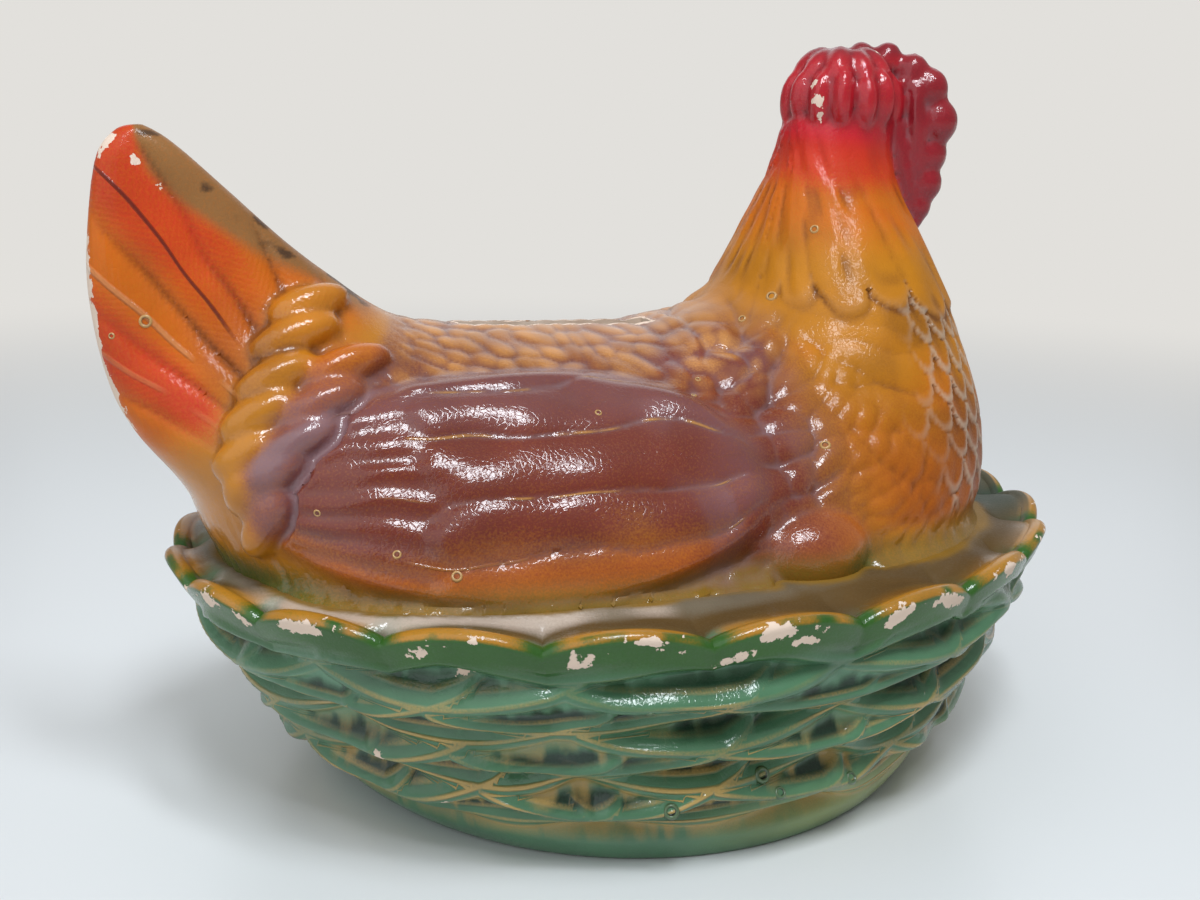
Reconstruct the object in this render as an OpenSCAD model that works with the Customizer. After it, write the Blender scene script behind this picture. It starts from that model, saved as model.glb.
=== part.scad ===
// Hen on a woven nest: a hollow, painted money box. Coins go in through a slot along
// the hen's back and come out through a bung hole in the base. Sizes are in millimetres.
// The hen faces +X, +Z is up and the origin is the middle of the foot print on the table.

/* [Hen] */
// Length of the hen from the back of the tail to the front of the breast
hen_len = 206; // [172:1:247]
// Height of the hen from the bed of the nest to the crown of the comb
hen_h = 110; // [92:1:132]
// Width of the hen across both wings
hen_wid = 122; // [102:1:146]
// Thickness of the cast walls
wall = 5; // [3.5:0.1:6]
// How far the wing stands proud of the flank
wing_raise = 4.2; // [3:0.1:5]
// Turn of the head to the hen's left, in degrees
head_turn = 38; // [0:1:50]

/* [Coin slot] */
// Length of the coin slot along the back
slot_len = 46; // [38:1:56]
// Width of the coin slot
slot_wid = 5.4; // [4.6:0.1:6.5]
// Distance from the back of the tail to the middle of the slot
slot_pos = 98; // [92:1:104]

/* [Nest] */
// Height of the bed that the hen sits on, above the table
bed_z = 54; // [45:1:65]
// Bed in front of the hen, up to the rim
bed_front = 19; // [15:1:23]
// Bed behind the hen, up to the rim
bed_rear = 8; // [6:1:12]
// Bed beside the hen, up to the rim
bed_side = 19; // [15:1:23]
// Thickness of the bed
bed_t = 5; // [4:0.5:7]
// Diameter of the round foot that the nest stands on
foot_d = 132; // [112:1:140]
// Scallops round the rim
scallops = 20; // [14:1:24]
// Rise of a scallop from its notch to its crest
scallop_rise = 4.6; // [2:0.1:6]
// Rows of woven strands
weave_rows = 5; // [3:1:6]
// Strands in one row round the nest
strands = 16; // [12:1:20]
// Depth of the weave
weave_depth = 2; // [1:0.1:3]

/* [Base and bung] */
// Thickness of the closing disc under the nest
base_t = 4.5; // [3.5:0.1:6]
// Height of the closing disc above the table
base_lift = 4; // [3.5:0.1:6]
// Width of the shoulder that the closing disc bears on
shoulder = 4; // [3:0.1:6]
// Width of the foot ring that stands on the table
foot_ring = 6.5; // [5:0.1:8]
// Gap round the closing disc
disc_gap = 0.25; // [0.1:0.05:0.4]
// Diameter of the bung hole
bung_d = 32; // [26:0.5:38]
// Running gap between the bung and its hole, measured on the radius
bung_gap = 0.05; // [0.02:0.01:0.1]
// How far the bung's flange overlaps the disc round the hole
bung_lip = 4; // [3:0.1:6]
// Thickness of the bung's flange
bung_flange = 2.4; // [1.6:0.1:3]
// Length of the bung's plug above its flange
bung_len = 9; // [7:0.1:12]
// Thickness of the bung's own walls
bung_wall = 2.2; // [1.6:0.1:3]

/* [Hidden] */
eps = 0.01;

// Hen outline as ribs, from the tip of the tail to the crown of the head. Each rib runs
// from the back line to the belly line in the hen's middle plane. Along and up are per
// cent of the hen's length and height, half width is per cent of the flank's half width.
// [back along, back up, belly along, belly up, half width, belly weight, fullness]
ribs = [
    [5.6, 80, 3.6, 79.5, 3.5, 1, 0.8],
    [8.2, 77, 1.5, 74.7, 7, 1, 0.7],
    [13.3, 68.3, 0.2, 61.5, 10, 1, 0.65],
    [18.4, 59.3, 0, 48.4, 13, 1, 0.65],
    [23, 52.5, 1.5, 32.6, 21, 0.95, 0.75],
    [27.1, 47, 4.8, 20, 39, 0.85, 0.85],
    [31.2, 43.7, 9.9, -2, 62, 0.75, 0.85],
    [38, 42.4, 22.5, -22, 86, 0.7, 0.8],
    [48.2, 41.6, 44.3, -29, 98, 0.68, 0.75],
    [58.8, 41.4, 65.6, -29, 100, 0.68, 0.75],
    [65.8, 43.9, 83.5, -22, 95, 0.7, 0.8],
    [69.8, 50.2, 95.2, -7, 82, 0.75, 0.85],
    [72, 57, 99.5, 12.7, 66, 0.85, 0.9],
    [73.8, 64.7, 98, 34.4, 48, 0.95, 0.95],
    [75, 71, 94.4, 51.6, 35, 1, 1],
    [75.9, 76.5, 91.3, 63.8, 27, 1, 1],
    [76.4, 81.4, 89.6, 72.4, 23, 1, 1],
    [78.2, 86.6, 89.6, 80.9, 21, 1, 1],
    [80.5, 92, 89.7, 89, 18, 1, 1],
    [84.4, 95.9, 86.8, 95.5, 6, 1, 1],
];
// Steps between ribs and points round a rib, on the outside and in the coin chamber
rib_steps = 3;
ring_points = 36;
chamber_steps = 2;
chamber_points = 20;
// Ribs, counted from the tail, between which the hen is hollow
chamber_from = 5.6;
chamber_to = 13.4;
// Share of the hen's height above which the slot is cut, inside the chamber
slot_from = 0.25;
// Ends of the hen's foot print on the bed, as shares of the hen's length
foot_back = 0.1;
foot_fore = 0.985;
// Least half width of a rib, and the steps over which the skin's slope is measured
thin_half = 0.4;
slope_rib = 0.1;
slope_angle = 4;
// Width of the hen's seat round the hole in the bed, in wall thicknesses
seat_walls = 2.2;

// Plan of the bed and the rim, along X from the back of the tail
foot_x0 = foot_back*hen_len;
foot_x1 = foot_fore*hen_len;
rim_x0 = foot_x0 - bed_rear;
rim_x1 = foot_x1 + bed_front;
rim_a = (rim_x1 - rim_x0)/2;
rim_b = hen_wid/2 + bed_side;
middle_x = max(rim_x1, hen_len)/2 + min(rim_x0, 0)/2;
nest_x = (rim_x0 + rim_x1)/2 - middle_x;
hole_a = (foot_x1 - foot_x0)/2 - seat_walls*wall;
hole_b = hen_wid/2 - seat_walls*wall;
hole_x = (foot_x0 + foot_x1)/2 - middle_x;

// Nest profile
rim_t = 4;
rim_drop = 1;
rim_z = bed_z - rim_drop;
foot_r = foot_d/2;
disc_r = foot_r - foot_ring - disc_gap;
shoulder_z = base_lift + base_t;
// Upright face above the shoulder
shoulder_h = 2;
// Power of the wall's flare: below 1 the bowl is fuller low down
flare = 0.73;
nest_points = 100;
nest_rows = 14;
// Shares of the wall's height: plain band, fade into the weave, top of it, start of scallops
plain_band = 0.14;
weave_fade = 0.06;
weave_top = 0.93;
scallop_from = 0.75;
// Level of the rim within a scallop's rise, and the angle of one notch
scallop_level = 0.74;
notch = 259;
// Inner edge of the crest: its drop below the rim and its share of the scallops' rise
crest_drop = 0.5;
crest_share = 0.7;
// Gutter inside the crest: its depth, its distance in, and that of the level bed
gutter = 3;
gutter_in = 3;
bed_in = 8;
// Shares of the wall's height where the hollow inside is measured
inner_shares = [0.78, 0.55, 0.34];
// Lean of a strand over its row, its height at the ends and the skew of its fullest place
strand_lean = 0.35;
strand_low = 0.35;
strand_skew = 0.7;

// Bung
plug_r = bung_d/2 - bung_gap;
lip_r = bung_d/2 + bung_lip;
dish_r = plug_r - bung_wall;
bar_w = 5;

// Facets round the lobes, the head's balls, the foot lumps, the disc and the bung
lobe_fn = 8;
ball_fn = 12;
lump_fn = 18;
disc_fn = 96;
bung_fn = 64;

// Smooth curve through a list of rows, at any place between the rows
function row_at(list, i) = list[max(0, min(len(list) - 1, i))];
function mix4(p, q, r, s, f) =
    0.5*(2*q + (r - p)*f + (2*p - 5*q + 4*r - s)*f*f + (3*q - p - 3*r + s)*f*f*f);
function spline(list, t) =
    let (i = min(floor(t), len(list) - 2))
    mix4(row_at(list, i - 1), row_at(list, i), row_at(list, i + 1), row_at(list, i + 2), t - i);
function smooth(lo, hi, v) = let (f = max(0, min(1, (v - lo)/(hi - lo)))) f*f*(3 - 2*f);
function sign_power(v, e) = sign(v)*pow(abs(v), e);

// A rib in millimetres in the part's frame: back point, belly point, half width, shape
function rib_at(t) =
    let (r = spline(ribs, t))
    [[r[0]/100*hen_len - middle_x, bed_z + r[1]/100*hen_h],
     [r[2]/100*hen_len - middle_x, bed_z + r[3]/100*hen_h], r[4]/100*(hen_wid/2 - wing_raise), r[5], r[6]];
// Point of the hen's skin on rib t, at an angle from the back line; inset goes inwards
function skin(t, angle, inset = 0) =
    let (r = rib_at(t), chord = r[1] - r[0], way = chord/norm(chord))
    let (back = r[0] + way*inset, belly = r[1] - way*inset)
    let (share = pow((1 - cos(angle))/2, r[3]), side = max(thin_half, r[2] - inset))
    let (at = back + (belly - back)*share)
    [at[0], side*sign_power(sin(angle), r[4]), at[1]];

// Outward direction of the skin
function skin_normal(t, angle) =
    let (along = skin(t + slope_rib, angle) - skin(t - slope_rib, angle))
    let (about = skin(t, angle + slope_angle) - skin(t, angle - slope_angle))
    let (out = cross(along, about))
    out/norm(out);

// Wing: an oval raised along the flank. Middle and half sizes are shares of length and height.
wing_mid = [0.365, 0.177];
wing_half = [0.25, 0.182];
wing_x = wing_mid[0]*hen_len - middle_x;
wing_z = bed_z + wing_mid[1]*hen_h;
wing_a = wing_half[0]*hen_len;
wing_h = wing_half[1]*hen_h;
// Edge of the oval, from flank to full height, and its lengthwise quills
wing_foot = 1.05;
wing_top = 0.84;
quill_waves = 1.6;
quill_h = 0.8;
quill_bow = 40;
function wing_reach(x, z) = norm([(x - wing_x)/wing_a, (z - wing_z)/wing_h]);
function wing_relief(x, z) =
    let (edge = smooth(wing_foot, wing_top, wing_reach(x, z)))
    let (quill = (z - wing_z)/wing_h*360*quill_waves, bow = quill_bow*cos(90*(x - wing_x)/wing_a))
    edge*(wing_raise + quill_h*cos(quill + bow));
// Tail feathers fan out from the saddle, so they follow the share of the way round a rib
tail_folds = 3.5;
tail_ridge = 1.5;
tail_sink = 0.5;
// Ribs over which they rise from the tip and run out at the root
tail_tip = [0.4, 1.6];
tail_root = [5.2, 3.8];
function tail_relief(t, angle) =
    let (fold = abs(sin(tail_folds*min(angle, 360 - angle))))
    let (fade = smooth(tail_tip[0], tail_tip[1], t)*smooth(tail_root[0], tail_root[1], t))
    fade*abs(sin(angle))*(tail_ridge*fold - tail_sink);
function hen_point(t, angle) =
    let (p = skin(t, angle))
    p + skin_normal(t, angle)*(wing_relief(p[0], p[2]) + tail_relief(t, angle));

// Closed skin through rings that all have the same number of points, with flat end caps
module loft(rings) {
    n = len(rings[0]);
    points = [for (ring = rings) each ring];
    last = (len(rings) - 1)*n;
    sides = [for (i = [0:len(rings) - 2], j = [0:n - 1])
        let (a = i*n + j, b = i*n + (j + 1)%n)
        each [[a, b, a + n], [b, b + n, a + n]]];
    first_cap = [for (j = [1:n - 2]) [0, j + 1, j]];
    last_cap = [for (j = [1:n - 2]) [last, last + j, last + j + 1]];
    polyhedron(points, concat(first_cap, sides, last_cap));
}

// The same, with the last ring joined to the first
module ring_loft(rings) {
    n = len(rings[0]);
    m = len(rings);
    points = [for (ring = rings) each ring];
    sides = [for (i = [0:m - 1], j = [0:n - 1])
        let (a = i*n + j, b = i*n + (j + 1)%n, c = (i + 1)%m*n + j, d = (i + 1)%m*n + (j + 1)%n)
        each [[a, c, b], [b, c, d]]];
    polyhedron(points, sides);
}

// A plump lobe between two points
module lobe(p, q, r, facets) {
    hull() {
        translate(p) sphere(r, $fn = facets);
        translate(q) sphere(r, $fn = facets);
    }
}

// Balls given as [x, y, z, radius], on one side of the head
module balls(list, side, facets) {
    for (b = list) {
        translate([b[0], side*b[1], b[2]]) sphere(b[3], $fn = facets);
    }
}

// Body, neck and tail in one smooth skin
module hen_skin() {
    steps = (len(ribs) - 1)*rib_steps;
    loft([for (i = [0:steps])
        [for (j = [0:ring_points - 1]) hen_point(i/rib_steps, 360*j/ring_points)]]);
}

// Hollow inside the hen, open below
module coin_chamber() {
    steps = round((chamber_to - chamber_from)*chamber_steps);
    loft([for (i = [0:steps])
        let (t = chamber_from + (chamber_to - chamber_from)*i/steps)
        [for (j = [0:chamber_points - 1]) skin(t, 360*j/chamber_points, wall)]]);
}

// Saddle feathers in two columns on each flank, like strands of rope
// [rib, angle from the back line, half of the angle that the feather spans]
saddle = [
    [4.2, 58, 17], [4.55, 78, 12], [4.9, 98, 8.5], [5.2, 114, 6], [5.5, 126, 4],
    [5.3, 44, 13], [5.12, 65, 9], [5.2, 80, 8], [5.4, 96, 7], [5.5, 110, 4],
];
saddle_r = 4.2;
saddle_proud = 0.2;
// Ribs that a feather moves forward per degree of its span
saddle_lean = 0.003;
module saddle_feathers() {
    for (feather = saddle, side = [1, -1]) {
        lean = saddle_lean*feather[2];
        p = skin(feather[0] - lean, feather[1] + feather[2], -saddle_proud);
        q = skin(feather[0] + lean, feather[1] - feather[2], -saddle_proud);
        lobe([p[0], side*p[1], p[2]], [q[0], side*q[1], q[2]], saddle_r, lobe_fn);
    }
}

// Head: place of its middle as shares of length and height, and the parts about it, which
// face +X before the turn. Their sizes are for a hen of one height and grow with it. The comb
// stands in rows of fingers about the nape.
head_mid = [0.862, 0.85];
head_for = 110;
nape = [-4.9, 3.8, 0];
// [turn of each finger from the face, distance out, height, radius, length of the finger]
comb_rows = [
    [[66, 90, 113, 135, 156, 175, 195, 218, 245, 270, 292], 11, 2.6, 3, 7],
    [[62, 107, 152, 197, 247, 297], 7.6, 9.8, 3.7, 1.6],
];
// Core inside the comb and lobes on top of it, as [x, y, z, radius]
comb_core = [[nape[0], nape[1], 3, 11.6]];
comb_top = [[2.4, -4.8, 11.8, 4], [-0.5, 0.8, 12, 4], [-5, 4.6, 11, 3.8], [6.5, 1.2, 11, 3.8],
    [10.5, 0, 8.5, 3.8]];
module comb() {
    for (row = comb_rows, turn = row[0]) {
        at = nape + row[1]*[cos(turn), sin(turn), 0] + [0, 0, row[2]];
        lobe(at - [0, 0, row[4]/2], at + [0, 0, row[4]/2], row[3], lobe_fn);
    }
    balls(comb_core, 1, ball_fn);
    balls(comb_top, 1, lobe_fn);
}

// Cheek and wattle on one side, a thick leaf with a lobed edge, as [x, y, z, radius]
wattle_leaf = [[1.5, 9, 6, 5], [4.5, 12, -4, 4.5], [4.5, 11.5, -18, 3.4], [1, 9.5, -24.5, 3.4],
    [2, 7, -10, 4]];
wattle_edge = [[4, 10.5, 9, 4.2], [5, 14.6, 5.2, 4.6], [6, 16.8, -2.2, 5], [6, 15.2, -9.8, 4.6],
    [5.8, 15, -16.6, 4.2], [5, 13.8, -22, 3.4], [4.4, 13.2, -25.4, 2.4]];
module wattle(side) {
    hull() balls(wattle_leaf, side, lobe_fn);
    balls(wattle_edge, side, lobe_fn);
}

// Face, beak of two mandibles and eyes, as [x, y, z, radius]
face_ball = [[3.5, 0, 0.5, 9.5]];
beak_upper = [[12, 0, 2, 6.5], [25, 0, -5, 1.6]];
beak_lower = [[11, 0, -4, 5], [21.5, 0, -6.5, 1.6]];
eye = [[11.5, 8.2, 5, 3]];
module face() {
    balls(face_ball, 1, ball_fn);
    hull() balls(beak_upper, 1, ball_fn);
    hull() balls(beak_lower, 1, ball_fn);
    balls(eye, 1, ball_fn);
    balls(eye, -1, ball_fn);
}

module head() {
    at = [head_mid[0]*hen_len - middle_x, 0, bed_z + head_mid[1]*hen_h];
    translate(at) rotate([0, 0, head_turn]) scale(hen_h/head_for) {
        comb();
        wattle(1);
        wattle(-1);
        face();
    }
}

// Foot lump in front of the wing on each side: shares of length and width, then millimetres
lump_mid = [0.665, 0.443];
lump_up = 3;
lump_r = 7;
lump_half = 4;
module foot_lumps() {
    for (side = [1, -1]) {
        p = [lump_mid[0]*hen_len - middle_x, side*lump_mid[1]*hen_wid, bed_z + lump_up];
        lobe(p - [lump_half, 0, 0], p + [lump_half, 0, 0], lump_r, lump_fn);
    }
}

module hen_body() {
    color("peru") difference() {
        union() {
            hen_skin();
            saddle_feathers();
            head();
            foot_lumps();
        }
        coin_chamber();
        translate([slot_pos - middle_x - slot_len/2, -slot_wid/2, bed_z + slot_from*hen_h])
            cube([slot_len, slot_wid, hen_h - slot_from*hen_h]);
        translate([-hen_len, -hen_wid, bed_z - hen_h]) cube([2*hen_len, 2*hen_wid, hen_h]);
    }
}

// Weave on the nest wall: slanted strands, each row laid half a strand on from the last
function weave(th, v) =
    let (row = floor(v), f = v - row, along = th/360*strands + row/2 + strand_lean*f)
    let (g = along - floor(along), leaf = sin(180*pow(g, strand_skew)))
    weave_depth*(sin(180*f)*(strand_low + (1 - strand_low)*leaf) - 0.5);
function scallop(th) = scallop_rise*(abs(sin((th - notch)/2*scallops)) - scallop_level);
function nest_ring(a, b, z, x = nest_x) =
    [for (j = [0:nest_points - 1]) let (th = 360*j/nest_points) [x + a*cos(th), b*sin(th), z]];
function wall_ring(share) =
    let (s = pow(share, flare), a = foot_r + (rim_a - foot_r)*s, b = foot_r + (rim_b - foot_r)*s)
    let (v = weave_rows*(share - plain_band)/(1 - plain_band), up = smooth(scallop_from, 1, share))
    let (woven = smooth(plain_band, plain_band + weave_fade, share)*smooth(1, weave_top, share))
    [for (j = [0:nest_points - 1])
        let (th = 360*j/nest_points, d = woven*weave(th, v))
        [nest_x + (a + d)*cos(th), (b + d)*sin(th), share*rim_z + up*scallop(th)]];
function inner_ring(share) =
    let (s = pow(share, flare), a = foot_r + (rim_a - foot_r)*s, b = foot_r + (rim_b - foot_r)*s)
    let (in = wall + weave_depth/2)
    nest_ring(a - in, b - in, share*rim_z);

module nest_basket() {
    shoulder_r = disc_r + disc_gap - shoulder;
    outside = [for (i = [0:nest_rows]) wall_ring(i/nest_rows)];
    crest_inner = [for (j = [0:nest_points - 1])
        let (th = 360*j/nest_points, z = rim_z - crest_drop + crest_share*scallop(th))
        [nest_x + (rim_a - rim_t)*cos(th), (rim_b - rim_t)*sin(th), z]];
    bed = [nest_ring(rim_a - rim_t - gutter_in, rim_b - rim_t - gutter_in, bed_z - gutter),
        nest_ring(rim_a - rim_t - bed_in, rim_b - rim_t - bed_in, bed_z),
        nest_ring(hole_a, hole_b, bed_z, hole_x), nest_ring(hole_a, hole_b, bed_z - bed_t, hole_x)];
    inside = [for (share = inner_shares) inner_ring(share)];
    bottom = [nest_ring(shoulder_r, shoulder_r, shoulder_z + shoulder_h),
        nest_ring(shoulder_r, shoulder_r, shoulder_z),
        nest_ring(disc_r + disc_gap, disc_r + disc_gap, shoulder_z),
        nest_ring(disc_r + disc_gap, disc_r + disc_gap, 0)];
    color("seagreen") ring_loft(concat(outside, [crest_inner], bed, inside, bottom));
}

module base_disc() {
    color("wheat") translate([nest_x, 0, base_lift]) difference() {
        cylinder(h = base_t, r = disc_r, $fn = disc_fn);
        translate([0, 0, -eps]) cylinder(h = base_t + 2*eps, d = bung_d, $fn = bung_fn);
    }
}

module bung() {
    color("dimgray") translate([nest_x, 0, base_lift]) difference() {
        union() {
            translate([0, 0, -bung_flange]) cylinder(h = bung_flange, r = lip_r, $fn = bung_fn);
            cylinder(h = bung_len, r = plug_r, $fn = bung_fn);
        }
        difference() {
            translate([0, 0, -bung_flange - eps])
                cylinder(h = bung_flange + bung_len - bung_wall, r = dish_r, $fn = bung_fn);
            translate([-dish_r, -bar_w/2, -bung_flange]) cube([2*dish_r, bar_w, bung_flange + bung_len]);
        }
    }
}

hen_body();
nest_basket();
base_disc();
bung();
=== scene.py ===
"""Hen money box on a woven nest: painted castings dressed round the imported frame."""

import logging
import math
from dataclasses import dataclass, field, replace
from enum import IntEnum
from typing import Any, Mapping, Sequence

import bpy
import numpy as np
from mathutils import Matrix, Vector
from mathutils.bvhtree import BVHTree
from mathutils.kdtree import KDTree

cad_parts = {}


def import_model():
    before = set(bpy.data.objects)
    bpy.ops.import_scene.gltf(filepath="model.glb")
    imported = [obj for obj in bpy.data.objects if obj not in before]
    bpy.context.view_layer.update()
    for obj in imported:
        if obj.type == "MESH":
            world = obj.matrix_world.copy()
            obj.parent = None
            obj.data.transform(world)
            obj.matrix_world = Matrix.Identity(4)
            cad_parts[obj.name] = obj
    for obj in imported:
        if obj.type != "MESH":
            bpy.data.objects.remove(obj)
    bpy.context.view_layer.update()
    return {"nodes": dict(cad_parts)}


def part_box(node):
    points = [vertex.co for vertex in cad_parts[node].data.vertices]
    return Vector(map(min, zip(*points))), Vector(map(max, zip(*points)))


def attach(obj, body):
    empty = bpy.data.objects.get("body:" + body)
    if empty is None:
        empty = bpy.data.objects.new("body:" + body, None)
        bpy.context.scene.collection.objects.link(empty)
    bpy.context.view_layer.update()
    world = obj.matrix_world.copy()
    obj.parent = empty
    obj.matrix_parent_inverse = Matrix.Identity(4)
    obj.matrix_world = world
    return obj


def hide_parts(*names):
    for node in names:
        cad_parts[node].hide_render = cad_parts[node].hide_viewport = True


LOG = logging.getLogger("hen_box")
Array = np.ndarray
Rows = tuple[tuple[float, ...], ...]
Masks = dict[str, Array]
Tree = bpy.types.NodeTree
Socket = bpy.types.NodeSocket
MM = 0.001
# Points of the hen that lie this far below the bed, in millimetres, belong to its foot
FOOT_DEPTH = 0.3

# The hen's ribs, from the tip of the tail to the crown, as in the part's source. Along and up are
# per cent of the hen's length and height, half width is per cent of the flank's half width.
# back along, back up, belly along, belly up, half width, belly weight, fullness
RIBS = np.array((
    (5.6, 80, 3.6, 79.5, 3.5, 1, 0.8),
    (8.2, 77, 1.5, 74.7, 7, 1, 0.7),
    (13.3, 68.3, 0.2, 61.5, 10, 1, 0.65),
    (18.4, 59.3, 0, 48.4, 13, 1, 0.65),
    (23, 52.5, 1.5, 32.6, 21, 0.95, 0.75),
    (27.1, 47, 4.8, 20, 39, 0.85, 0.85),
    (31.2, 43.7, 9.9, -2, 62, 0.75, 0.85),
    (38, 42.4, 22.5, -22, 86, 0.7, 0.8),
    (48.2, 41.6, 44.3, -29, 98, 0.68, 0.75),
    (58.8, 41.4, 65.6, -29, 100, 0.68, 0.75),
    (65.8, 43.9, 83.5, -22, 95, 0.7, 0.8),
    (69.8, 50.2, 95.2, -7, 82, 0.75, 0.85),
    (72, 57, 99.5, 12.7, 66, 0.85, 0.9),
    (73.8, 64.7, 98, 34.4, 48, 0.95, 0.95),
    (75, 71, 94.4, 51.6, 35, 1, 1),
    (75.9, 76.5, 91.3, 63.8, 27, 1, 1),
    (76.4, 81.4, 89.6, 72.4, 23, 1, 1),
    (78.2, 86.6, 89.6, 80.9, 21, 1, 1),
    (80.5, 92, 89.7, 89, 18, 1, 1),
    (84.4, 95.9, 86.8, 95.5, 6, 1, 1),
))


def linear(code: str) -> tuple[float, float, float, float]:
    """Turn an sRGB hex colour into linear RGBA.

    Args:
        code: Colour as "#RRGGBB".

    Returns:
        Linear red, green, blue and an alpha of 1.
    """
    parts = [int(code[i:i + 2], 16) / 255 for i in (1, 3, 5)]
    r, g, b = (c / 12.92 if c <= 0.04045 else ((c + 0.055) / 1.055) ** 2.4 for c in parts)
    return r, g, b, 1.0


def ease(value: Array, start: float, end: float) -> Array:
    """Smooth step from 0 at start to 1 at end; start may lie above end."""
    f = np.clip((value - start) / (end - start), 0, 1)
    return f * f * (3 - 2 * f)


def band(value: Array, rise: float, top: float, fall: float, end: float) -> Array:
    """Smooth plateau that rises from rise to top and falls from fall to end."""
    return ease(value, rise, top) * ease(value, end, fall)


def value_noise(points: Array, grain: float, seed: int) -> Array:
    """Smooth noise from a hashed lattice, the same on every run.

    Args:
        points: Points in millimetres, one row each.
        grain: Size of one lattice cell in millimetres.
        seed: Number that picks the pattern.

    Returns:
        One value from 0 to 1 for each point.
    """
    scaled = points / grain
    cell = np.floor(scaled).astype(np.int64)
    f = scaled - cell
    f = f * f * (3 - 2 * f)
    total = np.zeros(len(points))
    for corner in np.ndindex(2, 2, 2):
        at = cell + np.array(corner)
        mixed = at[:, 0] * 73856093 ^ at[:, 1] * 19349663 ^ at[:, 2] * 83492791 ^ seed * 2654435761
        mixed = (mixed ^ (mixed >> 13)) * 1274126177 & 0x7FFFFFFF
        weight = np.prod(np.where(np.array(corner) == 1, f, 1 - f), axis=1)
        total += weight * (mixed % 65536) / 65535
    return total


def catmull(rows: Array, t: Array) -> Array:
    """Smooth curve through rows.

    Args:
        rows: Values that the curve passes through, one row each.
        t: Places along the curve, where row k lies at t = k.

    Returns:
        One row of values for each place.
    """
    i = np.clip(np.floor(t).astype(int), 0, len(rows) - 2)
    f = (t - i)[..., None]
    p, q, r, s = (rows[np.clip(i + k, 0, len(rows) - 1)] for k in (-1, 0, 1, 2))
    return 0.5 * (2 * q + (r - p) * f + (2 * p - 5 * q + 4 * r - s) * f ** 2
                  + (3 * q - p - 3 * r + s) * f ** 3)


def unit(vectors: Array) -> Array:
    """Scale each vector to length one."""
    return vectors / np.maximum(np.linalg.norm(vectors, axis=-1, keepdims=True), 1e-9)


def grid_quads(rows: int, columns: int, close_rows: bool) -> Array:
    """Faces of a grid whose columns close on themselves.

    Args:
        rows: Rings in the grid.
        columns: Points in a ring.
        close_rows: Whether the last ring joins the first.

    Returns:
        Four corner numbers for each face.
    """
    i, j = np.meshgrid(np.arange(rows if close_rows else rows - 1), np.arange(columns), indexing="ij")
    k, m = (i + 1) % rows, (j + 1) % columns
    return np.stack([i * columns + j, i * columns + m, k * columns + m, k * columns + j], -1).reshape(-1, 4)


def new_mesh(name: str, points: Array, faces: Sequence[Sequence[int]]) -> bpy.types.Mesh:
    """Make a mesh from points in millimetres.

    Args:
        name: Name of the mesh.
        points: Points in the part's frame.
        faces: Corner numbers of each face.

    Returns:
        The mesh, in metres.
    """
    mesh = bpy.data.meshes.new(name)
    mesh.from_pydata((np.asarray(points) * MM).tolist(), [], [list(map(int, face)) for face in faces])
    mesh.validate()
    return mesh


def tube_faces(rows: int, columns: int) -> list[list[int]]:
    """Outward faces of a lofted tube with a cap on each end.

    Args:
        rows: Rings in the loft.
        columns: Points in a ring.

    Returns:
        Corner numbers of each face.
    """
    faces = [quad[::-1] for quad in grid_quads(rows, columns, False).tolist()]
    return faces + [list(range(columns)), list(range((rows - 1) * columns, rows * columns))[::-1]]


def new_object(name: str, mesh: bpy.types.Mesh) -> bpy.types.Object:
    """Put a mesh in the scene.

    Args:
        name: Name of the object.
        mesh: Its mesh.

    Returns:
        The object, at the origin.
    """
    obj = bpy.data.objects.new(name, mesh)
    bpy.context.scene.collection.objects.link(obj)
    return obj


def bake_modifiers(obj: bpy.types.Object) -> None:
    """Replace an object's mesh with the result of its modifiers, and drop them.

    Args:
        obj: Object with live modifiers.
    """
    bpy.context.view_layer.update()
    result = bpy.data.meshes.new_from_object(obj.evaluated_get(bpy.context.evaluated_depsgraph_get()))
    obj.modifiers.clear()
    obj.data = result


def read_rows(items: Any, name: str, width: int, kind: type = float) -> Array:
    """Read one property of every item of a mesh.

    Args:
        items: Points, edges, faces or normals.
        name: Property to read.
        width: Numbers in one value.
        kind: Kind of number.

    Returns:
        One row for each item.
    """
    flat = np.empty(len(items) * width, dtype=kind)
    items.foreach_get(name, flat)
    return flat.reshape(-1, width)


def points_of(mesh: bpy.types.Mesh) -> Array:
    """Points of a mesh in millimetres."""
    return read_rows(mesh.vertices, "co", 3) / MM


def normals_of(mesh: bpy.types.Mesh) -> Array:
    """Outward direction at each point of a mesh."""
    return read_rows(mesh.vertex_normals, "vector", 3)


def edges_of(mesh: bpy.types.Mesh) -> Array:
    """Pairs of point numbers, one for each edge."""
    return read_rows(mesh.edges, "vertices", 2, np.int32)


def move_points(mesh: bpy.types.Mesh, points: Array) -> None:
    """Set the points of a mesh, given in millimetres."""
    mesh.vertices.foreach_set("co", (points * MM).ravel())
    mesh.update()


def point_tree(points: Array) -> KDTree:
    """Make a search tree.

    Args:
        points: Points, which the tree finds by their row number.

    Returns:
        The tree, ready to search.
    """
    tree = KDTree(len(points))
    for k, point in enumerate(points):
        tree.insert(point, k)
    tree.balance()
    return tree


def neighbour_mean(values: Array, edges: Array) -> Array:
    """Mean of the values at each point's neighbours.

    Args:
        values: One value or row for each point.
        edges: Pairs of neighbouring points.

    Returns:
        The means, in the shape of the values.
    """
    count = np.bincount(edges.ravel(), minlength=len(values))[:, None]
    columns = values.reshape(len(values), -1)
    total = np.stack([np.bincount(edges[:, 0], column[edges[:, 1]], len(values))
                      + np.bincount(edges[:, 1], column[edges[:, 0]], len(values))
                      for column in columns.T], -1)
    return (total / np.maximum(count, 1)).reshape(values.shape)


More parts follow.
